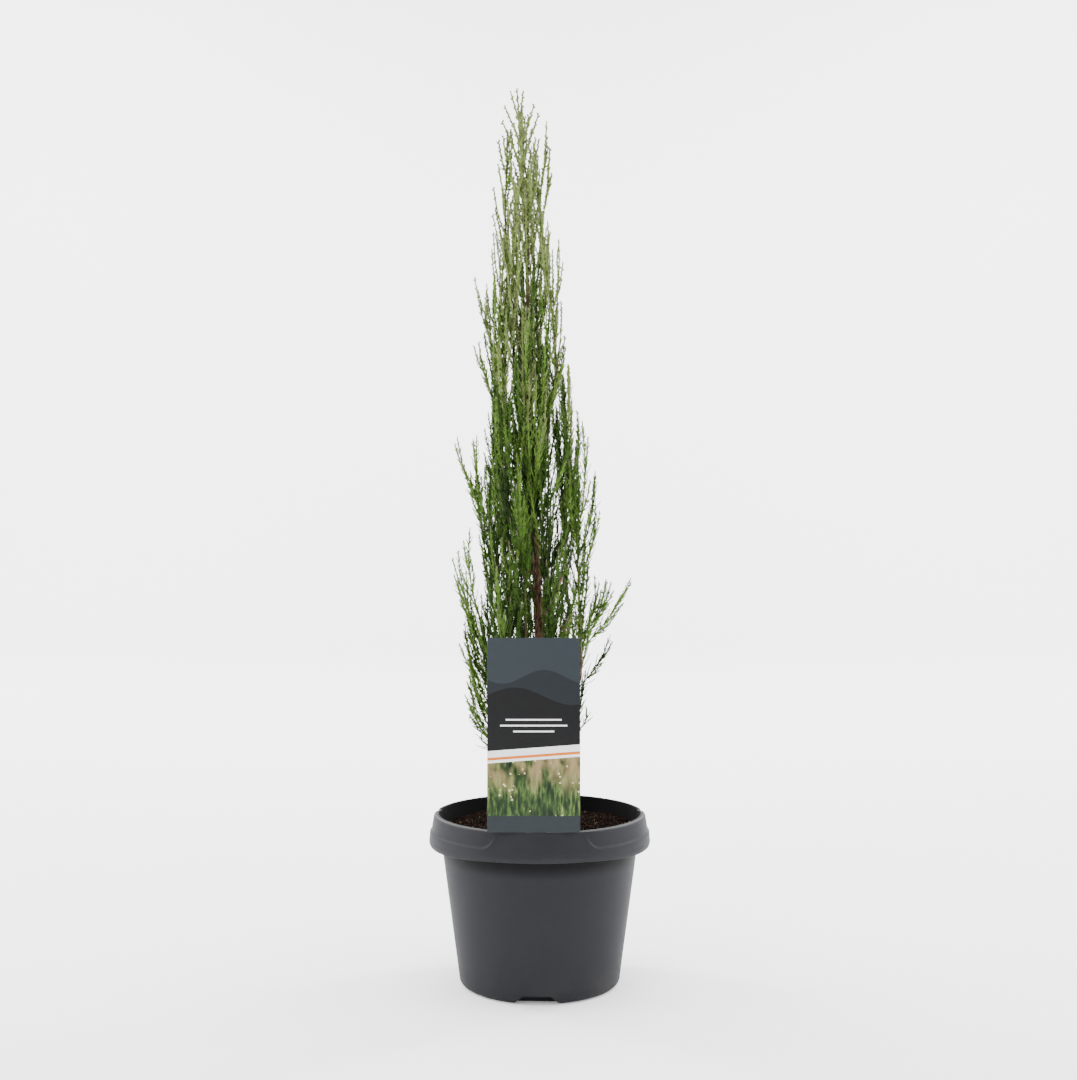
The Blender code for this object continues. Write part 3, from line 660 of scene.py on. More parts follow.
def rounded(points: Profile, radius: float, steps: int = 3) -> Profile:
    """Round the inner corners of an open profile.

    Args:
        points: the profile's corners.
        radius: the length cut off each side of a corner, less where a side is short.
        steps: the number of stretches in place of each corner.

    Returns:
        The profile with every inner corner replaced by a short curve.
    """
    corners = [Vector(point) for point in points]
    result = [points[0]]
    for before, corner, after in zip(corners, corners[1:], corners[2:]):
        reach = min(radius, 0.45 * (before - corner).length, 0.45 * (after - corner).length)
        start = corner + (before - corner).normalized() * reach
        end = corner + (after - corner).normalized() * reach
        for step in range(steps + 1):
            share = step / steps
            bend = start.lerp(corner, share).lerp(corner.lerp(end, share), share)
            result.append((bend.x, bend.y))
    return result + [points[-1]]


def turned_mesh(name: str, profile_at: Callable[[float], Profile], steps: int) -> Any:
    """Skin profiles set round the vertical axis.

    Args:
        name: the mesh's name.
        profile_at: gives the radius and height pairs at an azimuth in degrees, from the axis to the axis.
        steps: the number of profiles round the turn.

    Returns:
        A closed mesh with one vertex at each pole.
    """
    made = bmesh.new()
    columns = []
    for step in range(steps):
        azimuth = step * 360.0 / steps
        columns.append([made.verts.new(polar(r, azimuth, z)) for r, z in profile_at(azimuth)])
    for column, following in zip(columns, columns[1:] + columns[:1]):
        for low in range(len(column) - 1):
            corners = [column[low], column[low + 1], following[low + 1], following[low]]
            made.faces.new(corners)
    bmesh.ops.remove_doubles(made, verts=made.verts, dist=0.001 * MM)
    return finished(name, made)


def prism_mesh(name: str, outline: Profile, low: float, high: float) -> Any:
    """Extrude an outline into a closed mesh.

    Args:
        name: the mesh's name.
        outline: its corners in the XY plane.
        low: the height of its foot.
        high: the height of its top.

    Returns:
        The mesh data.
    """
    made = bmesh.new()
    foot = [made.verts.new((x, y, low)) for x, y in outline]
    top = [made.verts.new((x, y, high)) for x, y in outline]
    made.faces.new(foot[::-1])
    made.faces.new(top)
    for index in range(len(outline)):
        following = (index + 1) % len(outline)
        made.faces.new((foot[index], foot[following], top[following], top[index]))
    return finished(name, made)


def carve(item: Any, meshes: Sequence[Any]) -> Any:
    """Cut closed meshes out of a piece.

    Args:
        item: the piece.
        meshes: the meshes to cut out.

    Returns:
        The same piece.
    """
    cutters = [link("cutter", mesh) for mesh in meshes]
    for cutter in cutters:
        step = item.modifiers.new("carve", "BOOLEAN")
        step.operation = "DIFFERENCE"
        step.object = cutter
    evaluated(item)
    for cutter in cutters:
        bpy.data.objects.remove(cutter)
    return item


@dataclass
class NurseryPot:
    """The round pot: a conical body under a collar whose skirt hangs outside it."""

    height: float = 132.0 * MM
    draft: float = 0.133
    wall: float = 1.3 * MM
    body_at_foot: float = 62.15 * MM
    rim: float = 81.3 * MM
    shoulder_height: float = 130.6 * MM
    cone_top: float = 81.9 * MM
    cone_slope: float = 0.235
    tier: float = 84.0 * MM
    tier_height: float = 119.0 * MM
    tier_slope: float = 0.11
    tier_ledge: float = 1.0 * MM
    ledge_rise: float = 1.1 * MM
    ledge_fall: float = 0.8 * MM
    waist: float = 84.6 * MM
    waist_height: float = 120.0 * MM
    lip: float = 86.5 * MM
    lip_height: float = 111.0 * MM
    lip_corner: float = 2.6 * MM
    skirt_foot: float = 107.6 * MM
    corner: float = 0.4 * MM
    thickness: float = 2.1 * MM
    foot_corner: float = 5.0 * MM
    foot_ring: float = 7.0 * MM
    floor: float = 6.2 * MM
    panel_middle: float = -89.5
    panel_half: float = 23.5
    panel_fade: float = 8.0
    panel_rise: float = 14.0 * MM
    panel_lift: float = 2.4 * MM
    lift_from: float = 14.0
    lift_to: float = 64.0
    dip_azimuths: Tuple[float, float] = (9.0, 171.0)
    dip_half: float = 3.2
    dip_fade: float = 1.5
    dip_depth: float = 1.1 * MM
    rounding: float = 0.45 * MM
    foot_steps: int = 6
    steps: int = 288
    notches: int = 3
    notch_azimuth: float = -92.0
    notch_reach: float = 10.5 * MM
    notch_half_outline: Tuple[Tuple[float, float], ...] = (
        (21.0, -1.5), (18.8, -0.2), (16.6, 0.9), (12.7, 4.4), (11.2, 6.0), (9.6, 6.7),
    )
    drains: int = 6
    drain_circle: float = 38.0 * MM
    drain_radius: float = 4.0 * MM
    drain_sides: int = 24

    def body(self, height: float) -> float:
        """Return the outer radius of the conical body at a height."""
        return self.body_at_foot + self.draft * height

    def cone(self, height: float) -> float:
        """Return the outer radius of the collar's plain cone at a height."""
        return self.cone_top + self.cone_slope * (self.height - 1.0 * MM - height)

    def tier_wall(self, height: float) -> float:
        """Return the outer radius of the steeper tier round the sides and the back."""
        return self.tier - self.tier_slope * (height - self.tier_height)

    def profile(self, azimuth: float) -> Profile:
        """Draw the half section.

        Args:
            azimuth: where round the pot, in degrees.

        Returns:
            The radius and height pairs from the inner floor over the rim to the underside.
        """
        from_front = turn_between(azimuth, self.panel_middle)
        tiered = min(max((from_front - self.panel_half) / self.panel_fade, 0.0), 1.0)
        dip = 0.0
        for place in self.dip_azimuths:
            away = turn_between(azimuth, place)
            dip += self.dip_depth * (1.0 - smooth_step(away, self.dip_half, self.dip_half + self.dip_fade))
        top = self.height - dip
        shoulder = self.shoulder_height - dip
        rise = self.panel_rise * (1.0 - math.sqrt(1.0 - (1.0 - tiered) ** 2))
        fall = (self.cone_slope - self.tier_slope) * rise
        crease = min(self.tier_height + rise, shoulder - self.ledge_rise - 0.3 * MM)
        upper = crease + self.ledge_rise
        lower = crease - self.ledge_fall
        ledge = self.tier_ledge * smooth_step(tiered, 0.0, 0.2)
        lift = self.panel_lift * (1.0 - smooth_step(from_front, self.lift_from, self.lift_to))
        lip_height = self.lip_height + lift
        skirt_foot = self.skirt_foot + lift
        floor_top = self.floor + self.wall
        groove = self.height - self.thickness
        inner = [
            (0.0, floor_top),
            (self.body(floor_top) - self.wall, floor_top),
            (self.body(top) - self.wall, top),
            (self.rim - self.corner, top),
            (self.rim + self.corner, top - self.corner),
            (max(self.cone(shoulder), self.tier_wall(shoulder) - fall), shoulder),
            (max(self.cone(upper), self.tier_wall(upper) - fall), upper),
            (self.cone(lower) + ledge, lower),
            (self.lip - self.corner, lip_height + self.lip_corner),
            (self.lip, lip_height),
            (self.lip - 2.0 * self.corner, skirt_foot + self.corner),
            (self.lip - 4.0 * self.corner, skirt_foot),
            (self.lip - self.thickness, lip_height),
            (self.waist - self.thickness, self.waist_height),
            (self.cone_top - self.wall, groove),
            (self.body(groove), groove),
        ]
        foot_middle = self.body(self.foot_corner) - self.foot_corner
        ring = foot_middle - self.foot_ring
        outer = []
        for step in range(self.foot_steps + 1):
            turn = math.radians(-90.0 / self.foot_steps * step)
            outer.append((foot_middle + self.foot_corner * math.cos(turn),
                          self.foot_corner + self.foot_corner * math.sin(turn)))
        under = [(ring, 0.0), (ring - 1.0 * MM, self.floor), (0.0, self.floor)]
        return rounded(inner, self.rounding, 2) + outer + under

    def notch(self, azimuth: float) -> Any:
        """Shape the cutter of one drainage notch through the foot ring.

        Args:
            azimuth: where round the pot, in degrees.

        Returns:
            The cutter's mesh.
        """
        right = [(across * MM, along * MM) for across, along in self.notch_half_outline]
        outline = [*right, *[(-across, along) for across, along in reversed(right)]]
        mesh = prism_mesh("notch", outline, -self.notch_reach, self.notch_reach)
        upright = Matrix.Rotation(math.radians(90.0), 4, "X")
        turn = Matrix.Rotation(math.radians(azimuth + 90.0), 4, "Z")
        mesh.transform(Matrix.Translation(polar(self.body_at_foot, azimuth)) @ turn @ upright)
        return mesh

    def drain(self, azimuth: float) -> Any:
        """Shape the cutter of one drainage hole through the floor.

        Args:
            azimuth: where round the pot, in degrees.

        Returns:
            The cutter's mesh.
        """
        centre = polar(self.drain_circle, azimuth)
        turn = 360.0 / self.drain_sides
        corners = [centre + polar(self.drain_radius, turn * side) for side in range(self.drain_sides)]
        outline = [(corner.x, corner.y) for corner in corners]
        return prism_mesh("drain", outline, self.floor - 2.0 * MM, self.floor + 4.0 * MM)

    def build(self) -> List[Report]:
        """Build and dress the pot."""
        pot = link("nursery_pot", turned_mesh("nursery_pot", self.profile, self.steps), PotPlastic().make())
        spread = 360.0 / self.notches
        cutters = [self.notch(self.notch_azimuth + spread * turn) for turn in range(self.notches)]
        cutters += [self.drain(360.0 / self.drains * (turn + 0.5)) for turn in range(self.drains)]
        cutters.append(PlantLabel().slot())
        carve(pot, cutters)
        return [hand_over(shade(pot, 38.0), ["pot"])]


@dataclass
class PlantLabel:
    """The card that stands on the rim, with a tongue through the rim's slot."""

    width: float = 67.8 * MM
    height: float = 141.7 * MM
    thickness: float = 0.8 * MM
    corner: float = 1.2 * MM
    centre_x: float = -4.4 * MM
    plane_y: float = -80.6 * MM
    foot: float = 132.3 * MM
    tongue: float = 14.0 * MM
    tongue_end: float = 10.0 * MM
    tongue_length: float = 15.0 * MM
    tongue_taper: float = 4.5 * MM
    tongue_offset: float = 1.6 * MM
    clearance: float = 0.3 * MM
    slot_rise: float = 4.0 * MM
    corner_steps: int = 6
    edge: float = 0.12 * MM

    def place(self) -> Matrix:
        """Return the placement that stands a flat outline upright on the rim."""
        upright = Matrix.Rotation(math.radians(90.0), 4, "X")
        return Matrix.Translation((self.centre_x, self.plane_y, 0.0)) @ upright

    def tongue_outline(self, grow: float = 0.0, rise: float = 0.0) -> Profile:
        """Draw the tongue.

        Args:
            grow: how much wider and longer it is on each side, for a cutter.
            rise: how far it reaches above the card's foot.

        Returns:
            Its corners from the card's foot down and up again.
        """
        end = self.foot - self.clearance - self.tongue_length - grow
        half = 0.5 * self.tongue + grow
        right = [
            (half, self.foot + rise),
            (half, end + self.tongue_taper),
            (0.5 * self.tongue_end + grow, end),
        ]
        left = [(-across, along) for across, along in reversed(right)]
        return [(across + self.tongue_offset, along) for across, along in right + left]

    def slot(self) -> Any:
        """Return the cutter of the slot through the rim."""
        half = 0.5 * self.thickness + self.clearance
        mesh = prism_mesh("slot", self.tongue_outline(self.clearance, self.slot_rise), -half, half)
        mesh.transform(self.place())
        return mesh

    def outline(self) -> Profile:
        """Return the card's outline with round corners and its tongue."""
        half = 0.5 * self.width - self.corner
        low = self.foot + self.corner
        high = self.foot + self.height - self.corner
        points = self.tongue_outline()
        start = 270.0
        for centre in ((-half, low), (-half, high), (half, high), (half, low)):
            for step in range(self.corner_steps + 1):
                bend = Vector(centre) + polar(self.corner, start - 90.0 / self.corner_steps * step).xy
                points.append((bend.x, bend.y))
            start -= 90.0
        return points

    def build(self) -> List[Report]:
        """Build and dress the label."""
        half = 0.5 * self.thickness
        mesh = prism_mesh("plant_label", self.outline(), -half, half)
        mesh.transform(self.place())
        print_finish = CardPrint(self.centre_x, self.foot, self.width, self.height)
        label = link("plant_label", mesh, print_finish.make())
        bevel = label.modifiers.new("edge", "BEVEL")
        bevel.width = self.edge
        bevel.segments = 2
        bevel.limit_method = "ANGLE"
        evaluated(label)
        return [hand_over(shade(label, 30.0), ["label"])]


class Tree:
    """The rule that the trunk, the limbs and the crown follow, as in the part's source."""

    soil_top: float = 121.5 * MM
    top: float = 700.0 * MM
    trunk_end: float = 632.0 * MM
    trunk_base: float = 4.5 * MM
    trunk_taper: float = 0.76
    flare: float = 2.6 * MM
    flare_height: float = 10.0 * MM
    lean: float = 18.5 * MM
    sway: float = 1.3 * MM
    shift: float = 7.0 * MM
    golden_angle: float = 137.5
    first_azimuth: float = 187.0
    width_start: float = 0.4
    top_start: float = 0.1
    spray_reach: float = 3.0 * MM
    crown: Tuple[Tuple[float, float], ...] = (
        (0.150, 0.034), (0.200, 0.038), (0.290, 0.044), (0.340, 0.042), (0.380, 0.039), (0.440, 0.035),
        (0.500, 0.031), (0.560, 0.024), (0.600, 0.018), (0.670, 0.014), (0.700, 0.003),
    )

    @classmethod
    def share(cls, height: float) -> float:
        """Return the share of the tree's height above the compost."""
        return (height - cls.soil_top) / (cls.top - cls.soil_top)

    @classmethod
    def axis(cls, height: float) -> Vector:
        """Find a point on the trunk's axis, which leans and sways.

        Args:
            height: the point's height.

        Returns:
            The point.
        """
        climb = cls.share(height)
        across = -cls.lean * climb ** 2 + cls.sway * math.sin(9.0 * climb)
        return Vector((across, cls.sway * math.sin(6.0 * climb), height))

    @classmethod
    def trunk_radius(cls, height: float) -> float:
        """Return the trunk's radius at a height, with the flare at the ground."""
        flare = cls.flare * math.exp((cls.soil_top - height) / cls.flare_height)
        return cls.trunk_base * max(1.0 - cls.share(height), 0.0) ** cls.trunk_taper + flare

    @classmethod
    def crown_radius(cls, height: float) -> float:
        """Return the crown's half-width at a height."""
        heights, widths = zip(*cls.crown)
        return float(np.interp(height, heights, widths))

    @staticmethod
    def scattered(start: float, index: int) -> float:
        """Return a share that scatters evenly as the index runs on."""
        return (start + 0.618 * index) % 1.0


@dataclass(frozen=True)
class Tier:
    """One tier of limbs up the trunk: roots, tips, widths and the rise over which they swing out."""

    name: str
    count: int
    root_low: float
    root_high: float
    tip_low: float
    tip_high: float
    inner: float
    outer: float
    swing: float
    has_boughs: bool


TIERS = (
    Tier("low", 8, 0.138, 0.172, 0.268, 0.345, 0.72, 1.10, 0.050, True),
    Tier("lower", 6, 0.188, 0.245, 0.375, 0.440, 0.50, 1.08, 0.055, True),
    Tier("middle", 6, 0.268, 0.345, 0.455, 0.545, 0.50, 1.05, 0.060, False),
    Tier("upper", 5, 0.372, 0.470, 0.575, 0.640, 0.50, 1.00, 0.060, False),
    Tier("head", 4, 0.500, 0.580, 0.655, 0.690, 0.50, 1.00, 0.050, False),
)


@dataclass(frozen=True)
class Whip:
    """The height at which a named whip leaves its limb, and its tip's azimuth, distance and height."""

    leave: float
    azimuth: float
    distance: float
    height: float


# Named side whips by the limb that carries them. The trunk's are bare brown twigs.
WHIPS: Dict[str, Tuple[Whip, ...]] = {
    "low_1": (
        Whip(0.262, 184.0, 0.061, 0.334), Whip(0.236, 176.0, 0.056, 0.318), Whip(0.285, 192.0, 0.052, 0.352),
        Whip(0.181, 192.0, 0.047, 0.194), Whip(0.183, 200.0, 0.056, 0.222), Whip(0.186, 184.0, 0.055, 0.236),
        Whip(0.192, 178.0, 0.054, 0.250), Whip(0.200, 193.0, 0.057, 0.262), Whip(0.212, 183.0, 0.058, 0.278),
    ),
    "low_5": (
        Whip(0.258, 10.0, 0.074, 0.312), Whip(0.270, 24.0, 0.064, 0.309), Whip(0.228, 2.0, 0.055, 0.268),
        Whip(0.262, 350.0, 0.054, 0.312), Whip(0.266, 14.0, 0.047, 0.314), Whip(0.184, 352.0, 0.036, 0.213),
    ),
    "low_6": (
        Whip(0.225, 170.0, 0.058, 0.290), Whip(0.200, 166.0, 0.050, 0.228), Whip(0.222, 190.0, 0.052, 0.266),
        Whip(0.246, 184.0, 0.053, 0.300),
    ),
    "low_3": (
        Whip(0.225, 100.0, 0.058, 0.285), Whip(0.250, 112.0, 0.057, 0.315),
    ),
    "low_8": (
        Whip(0.235, 75.0, 0.060, 0.292), Whip(0.262, 62.0, 0.056, 0.330),
    ),
    "low_7": (
        Whip(0.232, 296.0, 0.056, 0.288), Whip(0.256, 289.0, 0.052, 0.336),
    ),
    "low_4": (
        Whip(0.235, 243.0, 0.056, 0.290), Whip(0.258, 236.0, 0.054, 0.322),
    ),
    "lower_3": (
        Whip(0.320, 118.0, 0.050, 0.385),
    ),
    "lower_4": (
        Whip(0.322, 254.0, 0.046, 0.384),
    ),
    "middle_1": (
        Whip(0.360, 318.0, 0.041, 0.418),
    ),
    "middle_2": (
        Whip(0.370, 92.0, 0.042, 0.432),
    ),
    "middle_6": (
        Whip(0.372, 282.0, 0.038, 0.436),
    ),
    "lower_2": (
        Whip(0.330, 352.0, 0.049, 0.396), Whip(0.345, 8.0, 0.041, 0.436), Whip(0.312, 356.0, 0.048, 0.371),
    ),
    "lower_6": (
        Whip(0.345, 186.0, 0.043, 0.424), Whip(0.335, 171.0, 0.045, 0.408), Whip(0.355, 178.0, 0.058, 0.423),
    ),
    "middle_4": (
        Whip(0.385, 8.0, 0.037, 0.444),
    ),
    "upper_2": (
        Whip(0.448, 178.0, 0.039, 0.498), Whip(0.478, 190.0, 0.033, 0.536), Whip(0.488, 188.0, 0.041, 0.547),
        Whip(0.490, 183.0, 0.0255, 0.549),
    ),
    "upper_3": (
        Whip(0.520, 340.0, 0.027, 0.576),
    ),
    "head_1": (
        Whip(0.595, 2.0, 0.022, 0.650), Whip(0.612, 5.0, 0.021, 0.671),
    ),
    "head_2": (
        Whip(0.556, 176.0, 0.025, 0.598),
    ),
    "leader": (
        Whip(0.672, 170.0, 0.0045, 0.694), Whip(0.670, 15.0, 0.0045, 0.695),
        Whip(0.655, 186.0, 0.010, 0.683), Whip(0.652, 350.0, 0.0115, 0.683),
        Whip(0.640, 8.0, 0.0145, 0.677), Whip(0.636, 178.0, 0.0125, 0.671),
        Whip(0.634, 95.0, 0.009, 0.672),
    ),
    "trunk": (
        Whip(0.284, 296.0, 0.042, 0.317), Whip(0.252, 301.0, 0.045, 0.286), Whip(0.318, 242.0, 0.031, 0.337),
    ),
}


@dataclass
class Limb:
    """One limb: where it leaves the trunk, how it swings out, and where its tip is."""

    name: str
    azimuth: float
    root: float
    top: float
    hold: float
    tip: float
    swing: float
    has_bough: bool
    bough_share: float = 0.78
    wander: float = 1.6 * MM
    bulge: float = 1.2

    def point(self, height: float) -> Vector:
        """Find a point on the limb's axis, which swings out and then rises steeply.

        Args:
            height: the point's height.

        Returns:
            The point.
        """
        outward = min((height - self.root) / self.swing, 1.0)
        level = self.root + self.swing
        climb = max(height - level, 0.0) / (self.top - level)
        spread = self.hold + (self.tip - self.hold) * climb ** self.bulge
        distance = spread * (1.0 - (1.0 - outward) ** 2)
        wander = self.wander * outward * math.sin(5.0 * climb + 0.1 * self.azimuth)
        drift = Tree.shift * outward * (1.0 - Tree.share(height) ** 3)
        place = Tree.axis(height) + polar(distance, self.azimuth) + polar(wander, self.azimuth + 90.0)
        return place - Vector((drift, 0.0, 0.0))

    def bough_end(self) -> float:
        """Return the height at which the bare bough ends."""
        return self.root + self.bough_share * self.swing if self.has_bough else self.root

    def path(self, low: float, high: float, stations: int) -> List[Vector]:
        """Return points of the axis between two heights."""
        return [self.point(low + (high - low) * step / stations) for step in range(stations + 1)]


def plan_limbs() -> List[Limb]:
    """Return every limb of the tree, tier by tier up the trunk."""
    limbs = []
    for tier in TIERS:
        for index in range(tier.count):
            share = index / (tier.count - 1)
            turn = len(limbs)
            root = tier.root_low + (tier.root_high - tier.root_low) * share
            top = tier.tip_low + (tier.tip_high - tier.tip_low) * Tree.scattered(Tree.top_start, 2 * turn)
            width = tier.inner + (tier.outer - tier.inner) * Tree.scattered(Tree.width_start, turn)
            hold = width * (Tree.crown_radius(root + tier.swing) - Tree.spray_reach)
            tip = width * (Tree.crown_radius(top) - 0.5 * Tree.spray_reach)
            azimuth = Tree.first_azimuth + Tree.golden_angle * turn
            name = f"{tier.name}_{index + 1}"
            limbs.append(Limb(name, azimuth, root, top, hold, tip, tier.swing, tier.has_boughs))
    return limbs


def bark_tube(made: Any, path: Sequence[Vector], radius_at: Callable[[float], float], sides: int,
              relief: float, seed: float) -> None:
    """Add a closed tube with upright flaky relief to a mesh.

    Args:
        made: the bmesh that takes the tube.
        path: the points of its axis.
        radius_at: gives the radius at a share of the path from 0 to 1.
        sides: the number of sides round it.
        relief: the depth of the relief as a share of the radius.
        seed: a shift of the noise, so that two tubes differ.
    """
    rings = []
    side = None
    for index, place in enumerate(path):
        ahead = path[min(index + 1, len(path) - 1)] - path[max(index - 1, 0)]
        heading = ahead.normalized()
        if side is None:
            side = heading.orthogonal().normalized()
        side = (side - heading * side.dot(heading)).normalized()
        other = heading.cross(side)
        radius = radius_at(index / (len(path) - 1))
        ring = []
        for corner in range(sides):
            angle = 2.0 * math.pi * corner / sides
            out = side * math.cos(angle) + other * math.sin(angle)
            grain = Vector((math.cos(angle) * 2.2, math.sin(angle) * 2.2, place.z * 110.0 + seed))
            strips = noise.noise(grain) + 0.6 * noise.noise(grain * Vector((2.3, 2.3, 2.6)))
            flake = smooth_step(noise.noise(grain * 1.7 + Vector((7.0, 3.0, seed))), 0.12, 0.35)
            ring.append(made.verts.new(place + out * radius * (1.0 + relief * (strips + 0.8 * flake))))
        rings.append(ring)
    for ring, following in zip(rings, rings[1:]):
        for corner in range(sides):
            after = (corner + 1) % sides
            made.faces.new((ring[corner], ring[after], following[after], following[corner]))
    made.faces.new(rings[0][::-1])
    made.faces.new(rings[-1])


@dataclass
class Wood:
    """The trunk and the bare boughs, with the relief of their bark."""

    limbs: Sequence[Limb]
    sunk: float = 2.5 * MM
    slimness: float = 0.88
    trunk_rings: int = 420
    trunk_sides: int = 20
    bough_tip: float = 1.25 * MM
    bough_thickening: float = 0.022
    bough_rings: int = 60
    bough_sides: int = 12
    relief: float = 0.10
    crowding: float = 1.15
    collar: float = 0.35
    collar_fall: float = 9.0

    def trunk_mesh(self) -> Any:
        """Return the trunk's mesh, from just under the compost to its tip."""
        foot = Tree.soil_top - self.sunk
        height = Tree.trunk_end - foot

        def level(share: float) -> float:
            """Return the height at a share of the rings, which crowd towards the foot."""
            return foot + height * share ** self.crowding

        def radius_at(share: float) -> float:
            """Return the trunk's radius at a share of the rings."""
            return self.slimness * Tree.trunk_radius(level(share))

        path = [Tree.axis(level(step / self.trunk_rings)) for step in range(self.trunk_rings + 1)]
        made = bmesh.new()
        bark_tube(made, path, radius_at, self.trunk_sides, self.relief, 0.0)
        return finished("trunk_bark", made)

    def bough_mesh(self, limbs: Sequence[Limb]) -> Any:
        """Model all bare boughs as one mesh.

        Args:
            limbs: the limbs that have a bough.

        Returns:
            The mesh data.
        """
        made = bmesh.new()
        for index, limb in enumerate(limbs):
            root = self.bough_tip + self.bough_thickening * limb.hold
            path = limb.path(limb.root, limb.bough_end(), self.bough_rings)
            collar = self.collar * root

            def radius_at(share: float, root: float = root, collar: float = collar) -> float:
                """Return the bough's radius, with a collar where it leaves the trunk."""
                return root + (self.bough_tip - root) * share + collar * math.exp(-share * self.collar_fall)

            bark_tube(made, path, radius_at, self.bough_sides, self.relief, 5.0 * index + 3.0)
        return finished("bough_bark", made)

    def build(self) -> List[Report]:
        """Build and dress the trunk and the boughs."""
        bark = Bark().make()
        trunk = link("trunk_bark", self.trunk_mesh(), bark)
        bare = [limb for limb in self.limbs if limb.has_bough]
        boughs = link("bough_bark", self.bough_mesh(bare), bark)
        return [
            hand_over(shade(trunk, 50.0), ["trunk"]),
            hand_over(shade(boughs, 50.0), ["bough_" + limb.name for limb in bare]),
        ]


class Growth:
    """Geometry Nodes trees that clothe bare chains of points with tubes or with scale leaves."""

    @staticmethod
    def tree(name: str, sizes: Dict[str, float], with_leaf: bool) -> Tuple[Any, Bench, Signal]:
        """Start a tree with a mesh of chains, named sizes and a material as its inputs.

        Args:
            name: the tree's name.
            sizes: the names of its number inputs, with their defaults.
            with_leaf: whether it takes a leaf object.

        Returns:
            The tree, its bench and its input node's first output.
        """
        made = bpy.data.node_groups.new(name, "GeometryNodeTree")
        made.interface.new_socket(name="Geometry", in_out="INPUT", socket_type="NodeSocketGeometry")
        made.interface.new_socket(name="Geometry", in_out="OUTPUT", socket_type="NodeSocketGeometry")
        for label, value in sizes.items():
            socket = made.interface.new_socket(name=label, in_out="INPUT", socket_type="NodeSocketFloat")
            socket.default_value = value
        made.interface.new_socket(name="Material", in_out="INPUT", socket_type="NodeSocketMaterial")
        if with_leaf:
            made.interface.new_socket(name="Leaf", in_out="INPUT", socket_type="NodeSocketObject")
        bench = Bench(made)
        return made, bench, bench.node("NodeGroupInput")

    @staticmethod
    def finish(bench: Bench, result: Signal, material: Signal) -> None:
        """Realize the instances, set the material and end the tree.

        Args:
            bench: the tree's bench.
            result: the grown geometry.
            material: the material for all of it.
        """
        real = bench.node("GeometryNodeRealizeInstances", None, {0: result})
        painted = bench.node("GeometryNodeSetMaterial", None, {"Geometry": real, "Material": material})
        bench.node("NodeGroupOutput", None, {0: painted})

    @classmethod
    def set_out(cls, given: Signal, points: Signal, facing: Signal, scale: Signal) -> None:
        """Set the tree's leaf on points and end the tree.

        Args:
            given: the tree's inputs.
            points: the points that take a leaf each.
            facing: each leaf's rotation.
            scale: each leaf's size.
        """
        bench = given.bench
        leaf = bench.node("GeometryNodeObjectInfo", {"transform_space": "ORIGINAL"},
                          {"Object": given.other("Leaf"), "As Instance": True}).other("Geometry")
        placed = bench.node("GeometryNodeInstanceOnPoints", None,
                            {"Points": points, "Instance": leaf, "Rotation": facing, "Scale": scale})
        cls.finish(bench, placed, given.other("Material"))

    @classmethod
    def tubes(cls) -> Any:
        """Return the tree that lays tapering tubes along chains that carry a radius."""
        made, bench, given = cls.tree("tubes_along_chains", {"Thickness": 1.0, "Sides": 4.0}, False)
        lines = bench.node("GeometryNodeMeshToCurve", None, {"Mesh": given})
        size = bench.node("GeometryNodeInputNamedAttribute", {"data_type": "FLOAT"}, {"Name": "radius"})
        ring = bench.node("GeometryNodeCurvePrimitiveCircle", None,
                          {"Resolution": given.other("Sides"), "Radius": 1.0})
        scale = size * given.other("Thickness")
        skin = bench.node("GeometryNodeCurveToMesh", None,
                          {"Curve": lines, "Profile Curve": ring, "Scale": scale, "Fill Caps": True})
        cls.finish(bench, skin, given.other("Material"))
        return made

    @classmethod
    def leaves(cls) -> Any:
        """Return the tree that sets crossed pairs of leaves along chains that carry a radius."""
        sizes = {"Spacing": 1.4 * MM, "Swelling": 1.0, "Seed": 3.0}
        made, bench, given = cls.tree("leaves_along_chains", sizes, True)
        lines = bench.node("GeometryNodeMeshToCurve", None, {"Mesh": given})
        points = bench.node("GeometryNodeCurveToPoints", {"mode": "LENGTH"},
                            {"Curve": lines, "Length": given.other("Spacing")})
        index = bench.node("GeometryNodeInputIndex")
        jitter = bench.random(-0.25, 0.25, given.other("Seed"))
        turn = index.math("MODULO", 2.0) * (0.5 * math.pi) + jitter
        spin = bench.node("ShaderNodeCombineXYZ", None, {"Z": turn})
        spun = bench.node("FunctionNodeEulerToRotation", None, {0: spin})
        facing = bench.node("FunctionNodeRotateRotation", {"rotation_space": "LOCAL"},
                            {"Rotation": points.other("Rotation"), "Rotate By": spun})
        size = bench.node("GeometryNodeInputNamedAttribute", {"data_type": "FLOAT"}, {"Name": "radius"})
        growth = bench.random(0.85, 1.2, given.other("Seed") + 7.0)
        cls.set_out(given, points, facing, size * growth * given.other("Swelling"))
        return made

    @staticmethod
    def leaf_pair() -> Any:
        """Return the object of one pair of scale leaves round an axis of unit radius."""
        made = bmesh.new()
        for side in (1.0, -1.0):
            low = made.verts.new((0.50 * side, 0.80 * side, -0.9))
            high = made.verts.new((0.50 * side, -0.80 * side, -0.9))
            ridge = made.verts.new((1.20 * side, 0.0, 0.2))
            tip = made.verts.new((1.60 * side, 0.0, 2.5))
            made.faces.new((low, tip, ridge))
            made.faces.new((high, ridge, tip))
            made.faces.new((low, ridge, high))
        return link("leaf_pair", finished("leaf_pair", made, False))

